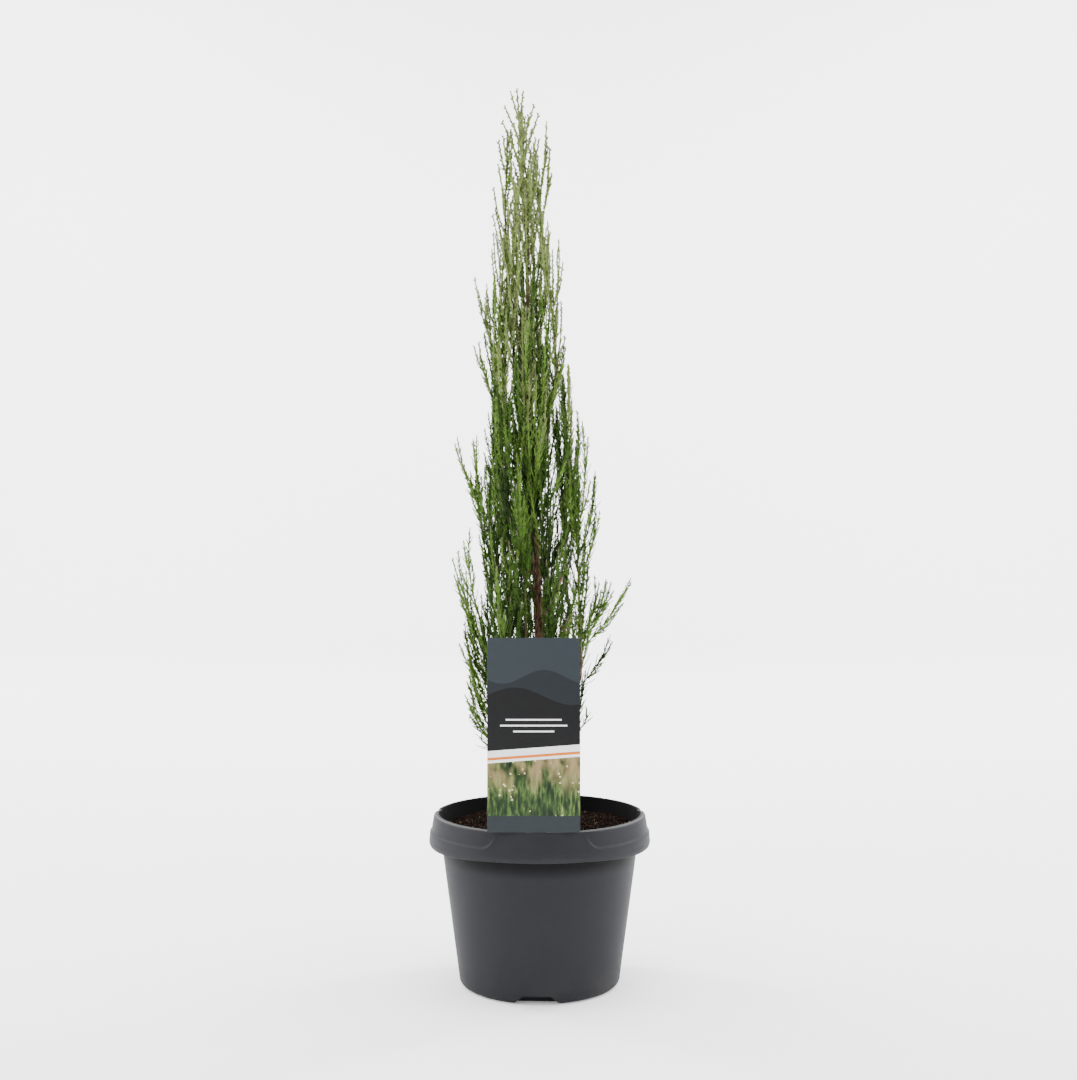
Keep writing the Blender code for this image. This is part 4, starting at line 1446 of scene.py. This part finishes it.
    @staticmethod
    def spur_pair() -> Any:
        """Return the object of two opposite short side shoots on a stem of unit radius."""
        made = bmesh.new()
        for side, reach, start in ((1.0, 4.4, 0.0), (-1.0, 3.6, 2.6)):
            out = Vector((0.47 * side, 0.0, 0.88))
            across = Vector((0.0, 1.0, 0.0))
            up = out.cross(across)
            foot = Vector((0.4 * side, 0.0, start))
            low = made.verts.new(foot)
            tip = made.verts.new(foot + out * reach)
            middle = foot + out * 0.5 * reach
            ring = [made.verts.new(middle + turn * 1.20) for turn in (across, up, -up - across)]
            for corner in range(3):
                after = (corner + 1) % 3
                made.faces.new((low, ring[after], ring[corner]))
                made.faces.new((tip, ring[corner], ring[after]))
        return link("spur_pair", finished("spur_pair", made))

    @staticmethod
    def clothe(item: Any, tree: Any, values: Dict[str, Any]) -> Any:
        """Grow a tree's result on a piece and keep it as plain mesh.

        Args:
            item: the object that holds the tree's input mesh.
            tree: the Geometry Nodes tree.
            values: its inputs by name.

        Returns:
            The same object with the grown mesh.
        """
        step = item.modifiers.new("grow", "NODES")
        step.node_group = tree
        for socket in tree.interface.items_tree:
            if socket.name in values and socket.in_out == "INPUT":
                step[socket.identifier] = values[socket.name]
        return evaluated(item)


class Chains:
    """Bare chains of points with a radius each, the skeleton of twigs or of leafy branchlets."""

    def __init__(self) -> None:
        """Start with no chain."""
        self.points: List[Vector] = []
        self.radii: List[float] = []
        self.edges: List[Tuple[int, int]] = []

    def add(self, path: Sequence[Vector], root: float, tip: float) -> None:
        """Add a chain.

        Args:
            path: its points.
            root: its radius at the first point.
            tip: its radius at the last point.
        """
        first = len(self.points)
        last = len(path) - 1
        self.points += path
        self.radii += [root + (tip - root) * index / last for index in range(last + 1)]
        self.edges += [(first + index, first + index + 1) for index in range(last)]

    def mesh_object(self, name: str) -> Any:
        """Lay the chains down as edges, with the radius as an attribute.

        Args:
            name: the object's name.

        Returns:
            The object that holds them.
        """
        mesh = bpy.data.meshes.new(name)
        mesh.from_pydata([tuple(point) for point in self.points], self.edges, [])
        radius = mesh.attributes.new("radius", "FLOAT", "POINT")
        radius.data.foreach_set("value", self.radii)
        return link(name, mesh)


@dataclass
class Crown:
    """All foliage: whips along every shoot, clad in branchlets, spurs and scale leaves."""

    limbs: Sequence[Limb]
    shoot_steps: int = 14
    shoot_sunk: float = 4.0 * MM
    leader_steps: int = 6
    leader_sunk: float = 2.0 * MM
    station: float = 5.5 * MM
    head_station: float = 6.0 * MM
    bare_over_bough: float = 4.0 * MM
    bare_over_trunk: float = 9.0 * MM
    bare_at_tip: float = 6.0 * MM
    whip_short: float = 42.0 * MM
    whip_long: float = 84.0 * MM
    whip_fade: float = 0.35
    tries: int = 5
    try_lean: float = 2.0
    try_turn: float = 37.0
    try_reach: float = 0.88
    overhang: float = 15.0 * MM
    lean_low: float = 9.0
    lean_high: float = 20.0
    head_lean: float = 5.0
    head_spread: float = 1.1
    head_whip: float = 0.52
    head_stoutness: float = 0.28
    low_lean: float = 10.0
    low_spread: float = 0.8
    low_shortening: float = 0.12
    open_side: float = 9.0 * MM
    open_below: float = 0.31
    open_share: float = 0.20
    whip_root: float = 0.54 * MM
    whip_tip: float = 0.45 * MM
    tip_length: float = 3.6 * MM
    tip_root: float = 0.50 * MM
    tip_end: float = 0.30 * MM
    pair_pitch: float = 3.8 * MM
    pairs_from: float = 3.0 * MM
    pairs_before_tip: float = 4.0 * MM
    dark_foot: float = 0.30
    skipped: float = 0.22
    skipped_high: float = 0.18
    top_gap: float = 1.3 * MM
    branchlet_root: float = 0.42 * MM
    branchlet_tip: float = 0.27 * MM
    branchlet_long: float = 10.5 * MM
    branchlet_head: float = 1.6 * MM
    branchlet_short: float = 2.6 * MM
    branchlet_lean: float = 31.0
    shoot_root: float = 1.0 * MM
    shoot_tip: float = 0.40 * MM
    bare_root: float = 1.20 * MM
    bare_tip: float = 0.70 * MM
    trunk_whips_from: float = 0.185
    trunk_whips_to: float = 0.610
    trunk_whip_rise: float = 5.0 * MM
    trunk_whip_out: float = 0.42
    trunk_whip_after: float = 0.06
    trunk_whip_long: float = 78.0 * MM
    trunk_whip_loss: float = 30.0 * MM
    pale_trunk_from: float = 0.52
    named_full_below: float = 0.46
    named_fresh_above: float = 0.28
    forks: Tuple[float, ...] = (0.22, 0.40, 0.58)
    forked_from: float = 45.0 * MM
    fork_lean: float = 17.0
    green_twig: float = 24.0 * MM
    tint_spread: float = 0.45
    pale_from: float = 0.40
    pale_blur: float = 0.17
    pale_above: float = 0.42
    shade_below: float = 0.46
    fresh_above: float = 0.92
    leaf_pitch: float = 1.9 * MM
    spur_pitch: float = 3.4 * MM
    window_half: float = 4.5 * MM
    window_low: float = 0.250
    window_high: float = 0.330
    leader_from: float = 0.62
    halves_meet: float = 0.36
    upper_swelling: float = 1.05
    margin: float = 0.8 * MM
    reach: float = 4.0 * MM
    seed: int = 41

    def __post_init__(self) -> None:
        """Start the random draws and the empty skeletons."""
        self.draw = random.Random(self.seed)
        self.twigs = Chains()
        self.bare = Chains()
        self.tips = Chains()
        self.green = {(tint, upper): Chains() for tint in Tint for upper in (False, True)}
        self.axes = {(tint, upper): Chains() for tint in Tint for upper in (False, True)}

    @staticmethod
    def lean(heading: Vector, azimuth: float, degrees: float) -> Vector:
        """Lean a heading over.

        Args:
            heading: the heading.
            azimuth: the azimuth round it towards which it leans.
            degrees: how far it leans.

        Returns:
            The heading leant over.
        """
        side = Matrix.Rotation(math.radians(azimuth), 3, heading) @ heading.orthogonal().normalized()
        angle = math.radians(degrees)
        return (heading * math.cos(angle) + side * math.sin(angle)).normalized()

    @staticmethod
    def point_on(path: Sequence[Vector], distance: float) -> Tuple[Vector, Vector]:
        """Walk along a path.

        Args:
            path: the path's points.
            distance: how far to walk.

        Returns:
            The point reached, and the path's heading there.
        """
        for start, end in zip(path, path[1:]):
            run = (end - start).length
            if distance <= run or end is path[-1]:
                return start.lerp(end, min(distance / run, 1.0)), (end - start).normalized()
            distance -= run
        raise ValueError("the path has no stretch")

    @staticmethod
    def length(path: Sequence[Vector]) -> float:
        """Return a path's length."""
        return sum((end - start).length for start, end in zip(path, path[1:]))

    @staticmethod
    def arched(root: Vector, tip: Vector, bulge: Vector) -> List[Vector]:
        """Return a path of eight stretches from a root to a tip, moved by the bulge in its middle."""
        shares = [step / 8.0 for step in range(9)]
        return [root.lerp(tip, share) + bulge * math.sin(math.pi * share) for share in shares]

    def bent(self, root: Vector, out: Vector, after: Vector, length: float, steps: int) -> List[Vector]:
        """Grow a path that turns smoothly, with a slight sway.

        Args:
            root: its first point.
            out: its heading at the root.
            after: its heading at the tip.
            length: its length.
            steps: the number of its stretches.

        Returns:
            The path's points.
        """
        path = [root]
        sway = self.lean(after, self.draw.uniform(0.0, 360.0), 90.0)
        for step in range(steps):
            share = (step + 0.5) / steps
            turn = out.lerp(after, smooth_step(share, 0.0, 0.85)) + sway * 0.05 * math.sin(6.0 * share)
            path.append(path[-1] + turn.normalized() * (length / steps))
        return path

    def fits(self, path: Sequence[Vector]) -> bool:
        """Check that a whip keeps inside the crown's reach and clear of the trunk.

        Args:
            path: the whip's points.

        Returns:
            Whether it does.
        """
        centre = Vector((0.5 * Tree.shift, 0.0, 0.0))
        for place in path[2:]:
            if place.z > Tree.top - 0.5 * MM:
                return False
            out = place - Tree.axis(place.z)
            before_trunk = out.y < 0.0 and abs(out.x) < self.window_half
            if before_trunk and self.window_low < place.z < self.window_high:
                return False
            if place.z < Tree.trunk_end and out.length < Tree.trunk_radius(place.z) + self.margin:
                return False
            if (out + centre).length > Tree.crown_radius(min(place.z, 0.695)) + self.reach:
                return False
        return True

    def tint_of(self, path: Sequence[Vector], bias: float) -> Tint:
        """Deal a tint to a whip: painted shade (the SHADE tint) inside the crown, fresher green outside,
        pale towards the top.

        Args:
            path: the whip's points.
            bias: how much fresher than usual it is.

        Returns:
            The tint.
        """
        middle = path[len(path) // 2]
        outer = (middle - Tree.axis(middle.z)).length / (Tree.crown_radius(middle.z) + 1.0 * MM)
        value = outer + self.tint_spread * self.draw.uniform(-1.0, 1.0) + bias
        value += 0.30 * smooth_step(middle.z, 0.36, 0.50) + 0.20 * smooth_step(middle.z, 0.27, 0.36) - 0.20
        if middle.z > self.pale_from + self.pale_blur * self.draw.random():
            inner = Tint.GREEN if self.draw.random() < 0.5 else Tint.FRESH
            return Tint.PALE if value > self.pale_above else inner
        # Whips with a low value, mostly those deep in the crown, take the SHADE tint, a painted shade.
        if value < self.shade_below:
            return Tint.SHADE
        return Tint.GREEN if value < self.fresh_above else Tint.FRESH

    def branchlets(self, path: Sequence[Vector], tint: Tint, fullness: float) -> None:
        """Set pairs of branchlets along a whip: long ones near its foot, short ones near its tip.

        Args:
            path: the whip's points.
            tint: its tint.
            fullness: how long the branchlets are.
        """
        total = self.length(path)
        distance = self.pairs_from
        spin = self.draw.uniform(0.0, 360.0)
        while distance < total - self.pairs_before_tip:
            root, heading = self.point_on(path, distance)
            share = distance / total
            high = smooth_step(root.z, 0.42, 0.60)
            longest = self.branchlet_long * (1.0 - high) + self.branchlet_head * high
            shortest = self.branchlet_short * (1.0 - 0.4 * high)
            darker = Tint.SHADE if tint is Tint.GREEN else Tint.GREEN
            own = darker if share < self.dark_foot and self.draw.random() < 0.5 else tint
            for side in (0.0, 180.0):
                if self.draw.random() < self.skipped + self.skipped_high * high:
                    continue
                reach = longest * fullness * (1.0 - share) ** 0.8 * self.draw.uniform(0.25, 1.1)
                reach += shortest * self.draw.uniform(0.7, 1.5)
                out = self.lean(heading, spin + side, self.branchlet_lean * self.draw.uniform(0.7, 1.4))
                after = (out + heading * 1.1).normalized()
                twiglet = self.bent(root, out, after, reach, 2 if reach < 6.0 * MM else 3)
                if twiglet[-1].z < Tree.top - self.top_gap:
                    home = self.green[own, root.z > self.halves_meet]
                    home.add(twiglet, self.branchlet_root, self.branchlet_tip)
            spin += 90.0 + self.draw.uniform(-25.0, 25.0)
            distance += self.pair_pitch * self.draw.uniform(0.7, 1.3)

    def add_whip(self, path: Sequence[Vector], tint: Tint, fullness: float) -> None:
        """Add one whip: its green axis, its bare tip and its branchlets.

        Args:
            path: its points.
            tint: its tint.
            fullness: how long its branchlets are.
        """
        upper = path[0].z > self.halves_meet
        stout = 1.0 + self.head_stoutness * smooth_step(path[0].z, 0.55, 0.63)
        for chains in (self.green[tint, upper], self.axes[tint, upper]):
            chains.add(path, self.whip_root * stout, self.whip_tip * stout)
        end = path[-1]
        heading = (end - path[-2]).normalized()
        tip = [end + heading * reach for reach in (-1.0 * MM, 0.5 * self.tip_length, self.tip_length)]
        if tip[-1].z < Tree.top:
            self.tips.add(tip, self.tip_root, self.tip_end)
        self.branchlets(path, tint, fullness)

    def side_whip(self, root: Vector, heading: Vector, azimuth: float, reach: float, bias: float,
                  fullness: float) -> None:
        """Grow one whip where it fits, trying a few azimuths, leans and lengths.

        Args:
            root: where it leaves its stem.
            heading: the stem's heading there.
            azimuth: the azimuth round the stem towards which it leans.
            reach: its length.
            bias: how much fresher than usual it is.
            fullness: how long its branchlets are.
        """
        high = smooth_step(root.z, 0.50, 0.60)
        low = 1.0 - smooth_step(root.z, 0.24, 0.35)
        reach *= 1.0 - (1.0 - self.head_whip) * high - self.low_shortening * low
        for attempt in range(self.tries):
            lean = self.draw.uniform(self.lean_low, self.lean_high)
            lean += self.head_lean * high + self.low_lean * low - self.try_lean * attempt
            out = self.lean(heading, azimuth + self.try_turn * attempt, lean)
            after = (heading + out * (0.25 + self.head_spread * high + self.low_spread * low)).normalized()
            grown = self.bent(root, out, after, reach, 6)
            if self.fits(grown):
                self.add_whip(grown, self.tint_of(grown, bias), fullness)
                return
            reach *= self.try_reach

    def plume(self, path: List[Vector], bare: float, whips: Sequence[Whip]) -> None:
        """Grow one mass along its shoot.

        Args:
            path: the shoot's axis.
            bare: the length at its root that carries nothing.
            whips: the named whips that it carries.
        """
        total = self.length(path)
        bias = self.draw.uniform(-0.25, 0.22)
        self.twigs.add(path, self.shoot_root, self.shoot_tip)
        distance = bare
        index = 0
        while distance < total - self.bare_at_tip and path[0].z < self.leader_from:
            root, heading = self.point_on(path, distance)
            heading = (heading + Vector((0.0, 0.0, 0.9))).normalized()
            share = (distance - bare) / (total - bare)
            reach = min(self.draw.uniform(self.whip_short, self.whip_long) * (1.0 - self.whip_fade * share),
                        total - distance + self.overhang)
            azimuth = Tree.golden_angle * index + self.draw.uniform(-20.0, 20.0)
            is_open = root.x > self.open_side and root.z < self.open_below
            if not is_open or self.draw.random() > self.open_share:
                self.side_whip(root, heading, azimuth, reach, bias, 1.0 - 0.4 * share)
            index += 1
            high = smooth_step(root.z, 0.45, 0.62)
            spacing = self.station * (1.0 - high) + self.head_station * high
            distance += spacing * self.draw.uniform(0.7, 1.3)
        self.clad_shoot(path, bare, bias)
        for whip in whips:
            self.named_whip(path, whip)

    def clad_shoot(self, path: List[Vector], bare: float, bias: float) -> None:
        """Clad the shoot's own axis with leaves and branchlets over its green upper part.

        Args:
            path: the shoot's axis.
            bare: the length at its root that carries nothing.
            bias: how much fresher than usual it is.
        """
        total = self.length(path)
        start = max(bare, 0.15 * total)
        stretch = [self.point_on(path, start + (total - start) * step / 12.0)[0] for step in range(13)]
        self.add_whip(stretch, self.tint_of(stretch, bias + 0.15), 0.8)

    def named_whip(self, path: List[Vector], whip: Whip) -> None:
        """Grow a long side whip to its named tip, with small side whips of its own.

        Args:
            path: the shoot's axis, from which it leaves.
            whip: where it leaves and where its tip is.
        """
        heights = [point.z for point in path]
        root = Vector([float(np.interp(whip.leave, heights, line)) for line in zip(*path)])
        tip = Tree.axis(whip.height) + polar(whip.distance, whip.azimuth)
        grown = self.arched(root, tip, (root - Tree.axis(root.z)) * 0.12)
        fullness = 1.35 if whip.height < self.named_full_below else 0.5
        bias = 0.1 if whip.height > self.named_fresh_above else -0.12
        self.add_whip(grown, self.tint_of(grown, bias), fullness)
        for share in self.forks if self.length(grown) > self.forked_from else ():
            start, heading = self.point_on(grown, share * self.length(grown))
            out = self.lean(heading, self.draw.uniform(0.0, 360.0), self.fork_lean)
            side = self.bent(start, out, heading, self.draw.uniform(0.22, 0.40) * self.length(grown), 4)
            self.add_whip(side, self.tint_of(side, bias), 0.6)

    def bare_twig(self, twig: Whip) -> None:
        """Grow a bare twig from the trunk to its named tip, with a short green shoot on its end.

        Args:
            twig: where it leaves and where its tip is.
        """
        root = Tree.axis(twig.leave) + polar(0.6 * Tree.trunk_radius(twig.leave), twig.azimuth)
        tip = Tree.axis(twig.height) + polar(twig.distance, twig.azimuth)
        grown = self.arched(root, tip, polar(0.10 * twig.distance, twig.azimuth, -0.08 * twig.distance))
        self.bare.add(grown, self.bare_root, self.bare_tip)
        heading = (tip - grown[-2]).normalized()
        upright = (heading + Vector((0.0, 0.0, 1.6))).normalized()
        self.add_whip(self.bent(tip, heading, upright, self.green_twig, 5), Tint.GREEN, 0.7)

    def trunk_whips(self) -> None:
        """Grow the short shoots that hide the trunk, but for its foot as seen from the front."""
        height = self.trunk_whips_from
        turn = 0
        while height < self.trunk_whips_to:
            azimuth = Tree.golden_angle * turn
            root = Tree.axis(height) + polar(0.6 * Tree.trunk_radius(height), azimuth)
            out = (polar(1.0, azimuth) * self.trunk_whip_out + Vector((0.0, 0.0, 1.0))).normalized()
            after = (polar(1.0, azimuth) * self.trunk_whip_after + Vector((0.0, 0.0, 1.0))).normalized()
            longest = self.trunk_whip_long - self.trunk_whip_loss * Tree.share(height)
            reach = self.draw.uniform(0.8, 1.3) * longest
            grown = self.bent(root, out, after, reach, 6)
            if self.fits(grown):
                tint = self.draw.choice((Tint.SHADE, Tint.GREEN, Tint.GREEN, Tint.FRESH))
                self.add_whip(grown, Tint.PALE if height > self.pale_trunk_from else tint, 0.9)
            turn += 1
            height += self.trunk_whip_rise * self.draw.uniform(0.7, 1.3)

    def build(self) -> List[Report]:
        """Grow and dress the whole crown."""
        for limb in self.limbs:
            start = limb.bough_end() - (self.shoot_sunk if limb.has_bough else 0.0)
            bare = self.bare_over_bough if limb.has_bough else self.bare_over_trunk
            self.plume(limb.path(start, limb.top, self.shoot_steps), bare, WHIPS.get(limb.name, ()))
        foot = Tree.trunk_end - self.leader_sunk
        rise = (Tree.top - 0.3 * MM - self.tip_length - foot) / self.leader_steps
        leader = [Tree.axis(foot + rise * step) for step in range(self.leader_steps + 1)]
        self.plume(leader, self.bare_over_bough, WHIPS["leader"])
        self.trunk_whips()
        for twig in WHIPS["trunk"]:
            self.bare_twig(twig)
        return self.dress(["foliage_" + limb.name for limb in self.limbs] + ["foliage_leader"])

    def dress(self, nodes: Sequence[str]) -> List[Report]:
        """Clothe the skeletons, each kind apart.

        Args:
            nodes: the nodes that every piece stands for.

        Returns:
            The pieces' names and numbers of faces.
        """
        tubes = Growth.tubes()
        leaves = Growth.leaves()
        green_bark = Bark("shoot_bark", young=(0.034, 0.040, 0.011), young_from=0.17, young_at=0.30)
        brown_bark = Bark("twig_bark", mid=(0.110, 0.048, 0.026), flake=(0.190, 0.100, 0.062),
                          young_from=0.45, young_at=0.60)
        paint = {tint: Greenery(tint).make() for tint in Tint}
        leaf = Growth.leaf_pair()
        spur = Growth.spur_pair()
        pieces = []

        def clothe(chains: Chains, name: str, material: Any, **values: Any) -> None:
            """Clothe one skeleton and hand it over.

            Args:
                chains: the skeleton.
                name: the piece's name.
                material: its only material.
                **values: the tree's other inputs; a number of Sides makes tubes, else they are leaves.
            """
            is_tube = "Sides" in values
            piece = chains.mesh_object(name)
            Growth.clothe(piece, tubes if is_tube else leaves, {"Material": material, **values})
            if is_tube:
                shade(piece, 60.0)
            pieces.append(hand_over(piece, nodes))

        clothe(self.twigs, "shoots", green_bark.make(), Sides=6.0)
        clothe(self.bare, "bare_twigs", brown_bark.make(), Sides=8.0)
        clothe(self.tips, "whip_tips", paint[Tint.TIP], Sides=4.0)
        for (tint, upper), chains in self.green.items():
            if not chains.points:
                continue
            part = f"{tint.label}_{'upper' if upper else 'lower'}"
            size = self.upper_swelling if upper else 1.0
            clothe(chains, "stems_" + part, paint[tint], Sides=3.0)
            clothe(chains, "leaves_" + part, paint[tint], Spacing=self.leaf_pitch, Swelling=size, Leaf=leaf)
            if tint is not Tint.SHADE:
                clothe(self.axes[tint, upper], "spurs_" + part, paint[tint],
                       Spacing=self.spur_pitch, Swelling=size, Seed=9.0, Leaf=spur)
        bpy.data.objects.remove(leaf)
        bpy.data.objects.remove(spur)
        return pieces


@dataclass(frozen=True)
class Grain:
    """One kind of loose grain: its shape, how many to the square metre, their sizes, tilt and peat."""

    name: str
    stretch: Triple
    density: float
    smallest: float
    largest: float
    tilt: float
    finish: Peat


@dataclass
class Compost:
    """The peat that fills the pot, with crumbs, fibres and pale grains on top."""

    top: float = 121.5 * MM
    foot: float = 7.8 * MM
    edge_drop: float = 1.2 * MM
    edge_width: float = 6.0 * MM
    wall_gap: float = 1.75 * MM
    rings: int = 46
    steps: int = 120
    bump: float = 1.1 * MM
    bare_edge: float = 1.5 * MM
    grid: int = 60
    finish: Peat = Peat("compost", (0.0018, 0.0012, 0.0008), (0.026, 0.013, 0.008), 0.44)
    fibre: Peat = Peat("fibre", (0.018, 0.007, 0.003), (0.075, 0.030, 0.014), 0.55)
    speck: Peat = Peat("speck", (0.060, 0.040, 0.025), (0.220, 0.165, 0.110), 0.60)

    def reach(self) -> float:
        """Return the radius of the surface."""
        return NurseryPot().body(self.top) - self.wall_gap

    def surface(self, x: float, y: float) -> float:
        """Measure the lumpy surface, which drops at the pot's wall.

        Args:
            x: the place to the right of the pot's axis.
            y: the place behind it.

        Returns:
            The surface's height.
        """
        reach = self.reach()
        away = math.hypot(x, y)
        drop = self.edge_drop * smooth_step(away, reach - self.edge_width, reach)
        place = Vector((x, y, 0.0))
        lumps = noise.noise(place * 70.0) * 1.0 + noise.noise(place * 190.0) * 0.6
        return self.top - drop + self.bump * (lumps + noise.noise(place * 520.0) * 0.35) - 0.3 * self.bump

    def body_mesh(self) -> Any:
        """Return the closed mesh of the compost."""
        foot = NurseryPot().body(self.foot) - self.wall_gap
        reach = self.reach()

        def profile_at(azimuth: float) -> Profile:
            """Draw the half section, the surface first.

            Args:
                azimuth: where round the pot, in degrees.

            Returns:
                The radius and height pairs.
            """
            points = []
            for ring in range(self.rings + 1):
                radius = reach * ring / self.rings
                place = polar(radius, azimuth)
                points.append((radius, self.surface(place.x, place.y)))
            return points + [(foot, self.foot), (0.0, self.foot)]

        return turned_mesh("compost_body", profile_at, self.steps)

    @staticmethod
    def crumb(name: str, stretch: Triple, seed: float) -> Any:
        """Model one irregular grain of unit size.

        Args:
            name: the object's name.
            stretch: its scale along each axis.
            seed: a shift of the noise, so that two grains differ.

        Returns:
            The object.
        """
        made = bmesh.new()
        bmesh.ops.create_icosphere(made, subdivisions=1, radius=0.5)
        for vertex in made.verts:
            wobble = 1.0 + 0.45 * noise.noise(vertex.co * 3.0 + Vector((seed, 0.0, 0.0)))
            vertex.co = vertex.co * wobble * Vector(stretch)
        return link(name, finished(name, made, False))

    @staticmethod
    def scatter_tree() -> Any:
        """Return the tree that scatters grains over a surface."""
        sizes = {"Density": 1e5, "Smallest": 0.4 * MM, "Largest": 1.6 * MM, "Tilt": math.pi, "Seed": 5.0}
        made, bench, given = Growth.tree("grains_on_surface", sizes, True)
        points = bench.node("GeometryNodeDistributePointsOnFaces", {"distribute_method": "RANDOM"},
                            {"Mesh": given, "Density": given.other("Density"), "Seed": given.other("Seed")})
        tilt = given.other("Tilt")
        seed = given.other("Seed")
        turns = bench.random(tilt * -1.0, tilt, seed + 1.0)
        spin = bench.random(0.0, 2.0 * math.pi, seed + 2.0)
        facing = bench.node("ShaderNodeCombineXYZ", None, {"X": turns, "Y": turns * 0.7, "Z": spin})
        growth = bench.random(given.other("Smallest"), given.other("Largest"), seed + 3.0)
        Growth.set_out(given, points, facing, growth)
        return made

    def field_mesh(self) -> Any:
        """Return the open disc of the surface that carries the grains."""
        reach = self.reach() - self.bare_edge
        made = bmesh.new()
        bmesh.ops.create_grid(made, x_segments=self.grid, y_segments=self.grid, size=reach)
        for vertex in made.verts:
            vertex.co.z = self.surface(vertex.co.x, vertex.co.y)
        outside = [vertex for vertex in made.verts if vertex.co.xy.length > reach]
        bmesh.ops.delete(made, geom=outside, context="VERTS")
        return finished("grain_field", made, False)

    def build(self) -> List[Report]:
        """Build and dress the compost."""
        body = link("compost_body", self.body_mesh(), self.finish.make())
        pieces = [hand_over(shade(body, 60.0), ["soil"])]
        tree = self.scatter_tree()
        any_way = math.pi
        flat = 0.12 * math.pi
        for seed, kind in enumerate((
            Grain("compost_crumbs", (1.0, 0.8, 0.7), 260000.0, 0.8 * MM, 3.2 * MM, any_way, self.finish),
            Grain("compost_fibres", (1.0, 0.09, 0.09), 30000.0, 3.0 * MM, 9.0 * MM, flat, self.fibre),
            Grain("compost_specks", (1.0, 0.8, 0.5), 24000.0, 0.6 * MM, 1.9 * MM, any_way, self.speck),
        )):
            grain = self.crumb(kind.name + "_grain", kind.stretch, 3.0 + seed)
            field = link(kind.name, self.field_mesh())
            material = body.data.materials[0] if kind.finish is self.finish else kind.finish.make()
            Growth.clothe(field, tree, {
                "Density": kind.density, "Smallest": kind.smallest, "Largest": kind.largest,
                "Tilt": kind.tilt, "Seed": 5.0 + seed, "Material": material, "Leaf": grain,
            })
            bpy.data.objects.remove(grain)
            pieces.append(hand_over(field))
        return pieces


@dataclass(frozen=True)
class Lamp:
    """A soft rectangular studio lamp."""

    name: str
    place: Triple
    aim: Triple
    width: float
    height: float
    power: float

    def build(self) -> None:
        """Add the lamp to the scene."""
        data = bpy.data.lights.new(self.name, "AREA")
        data.shape = "RECTANGLE"
        data.size = self.width
        data.size_y = self.height
        data.energy = self.power
        lamp = bpy.data.objects.new(self.name, data)
        lamp.location = self.place
        lamp.rotation_euler = (Vector(self.aim) - Vector(self.place)).to_track_quat("-Z", "Y").to_euler()
        bpy.context.scene.collection.objects.link(lamp)


@dataclass
class Studio:
    """White floor that sweeps up behind the plant, soft lamps, and the camera of the photograph."""

    floor_half: float = 6.0
    back: float = 3.2
    sweep: float = 1.0
    sweep_steps: int = 12
    wall: float = 3.0
    world: float = 0.55
    middle: Triple = (0.0, 0.0, 0.32)
    camera_place: Triple = (-0.0009, -1.132, 0.3453)
    lens: float = 48.1
    sensor: float = 36.0

    def floor(self) -> None:
        """Build the floor with its swept back."""
        profile = [(-self.floor_half, 0.0), (self.back, 0.0)]
        for step in range(1, self.sweep_steps + 1):
            angle = math.radians(90.0 / self.sweep_steps * step)
            profile.append((self.back + self.sweep * math.sin(angle), self.sweep * (1.0 - math.cos(angle))))
        profile.append((self.back + self.sweep, self.wall))
        made = bmesh.new()
        left = [made.verts.new((-self.floor_half, y, z)) for y, z in profile]
        right = [made.verts.new((self.floor_half, y, z)) for y, z in profile]
        for index in range(len(profile) - 1):
            made.faces.new((left[index], right[index], right[index + 1], left[index + 1]))
        floor = link("studio_floor", finished("studio_floor", made, False), FloorPaint().make())
        floor.data.shade_smooth()

    def light(self) -> None:
        """Add the lamps and the white surround."""
        world = bpy.data.worlds.new("studio")
        world.use_nodes = True
        surround = world.node_tree.nodes["Background"]
        surround.inputs["Color"].default_value = (1.0, 1.0, 1.0, 1.0)
        surround.inputs["Strength"].default_value = self.world
        bpy.context.scene.world = world
        for lamp in (
            Lamp("key", (-1.5, -1.9, 1.9), self.middle, 1.4, 1.4, 42.0),
            Lamp("fill", (1.7, -1.6, 1.2), self.middle, 1.4, 1.6, 20.0),
            Lamp("left_strip", (-1.25, 0.0, 0.72), (0.0, 0.0, 0.72), 0.6, 1.4, 17.0),
            Lamp("right_strip", (1.25, 0.0, 0.72), (0.0, 0.0, 0.72), 0.6, 1.4, 16.0),
            Lamp("top", (0.0, 0.5, 2.6), (0.0, 0.5, 0.0), 3.2, 3.2, 190.0),
            Lamp("left_backdrop", (-2.6, 1.6, 2.2), (0.0, 4.2, 0.9), 1.6, 1.6, 330.0),
            Lamp("right_backdrop", (2.6, 1.6, 2.2), (0.0, 4.2, 0.9), 1.6, 1.6, 330.0),
        ):
            lamp.build()

    def camera(self) -> None:
        """Set the camera at the photograph's viewing angle."""
        data = bpy.data.cameras.new("camera")
        data.lens = self.lens
        data.sensor_width = self.sensor
        camera = bpy.data.objects.new("camera", data)
        camera.location = self.camera_place
        camera.rotation_euler = (math.radians(90.0), 0.0, 0.0)
        bpy.context.scene.collection.objects.link(camera)
        bpy.context.scene.camera = camera

    def build(self) -> None:
        """Build the whole studio."""
        self.floor()
        self.light()
        self.camera()


def main() -> None:
    """Build every piece, in order."""
    logging.basicConfig(level=logging.INFO, format="%(name)s: %(message)s")
    Studio().build()
    limbs = plan_limbs()
    for maker in (NurseryPot(), Compost(), PlantLabel(), Wood(limbs), Crown(limbs)):
        for name, faces in maker.build():
            LOG.info("%s: %d faces", name, faces)


if __name__ == "__main__":
    main()
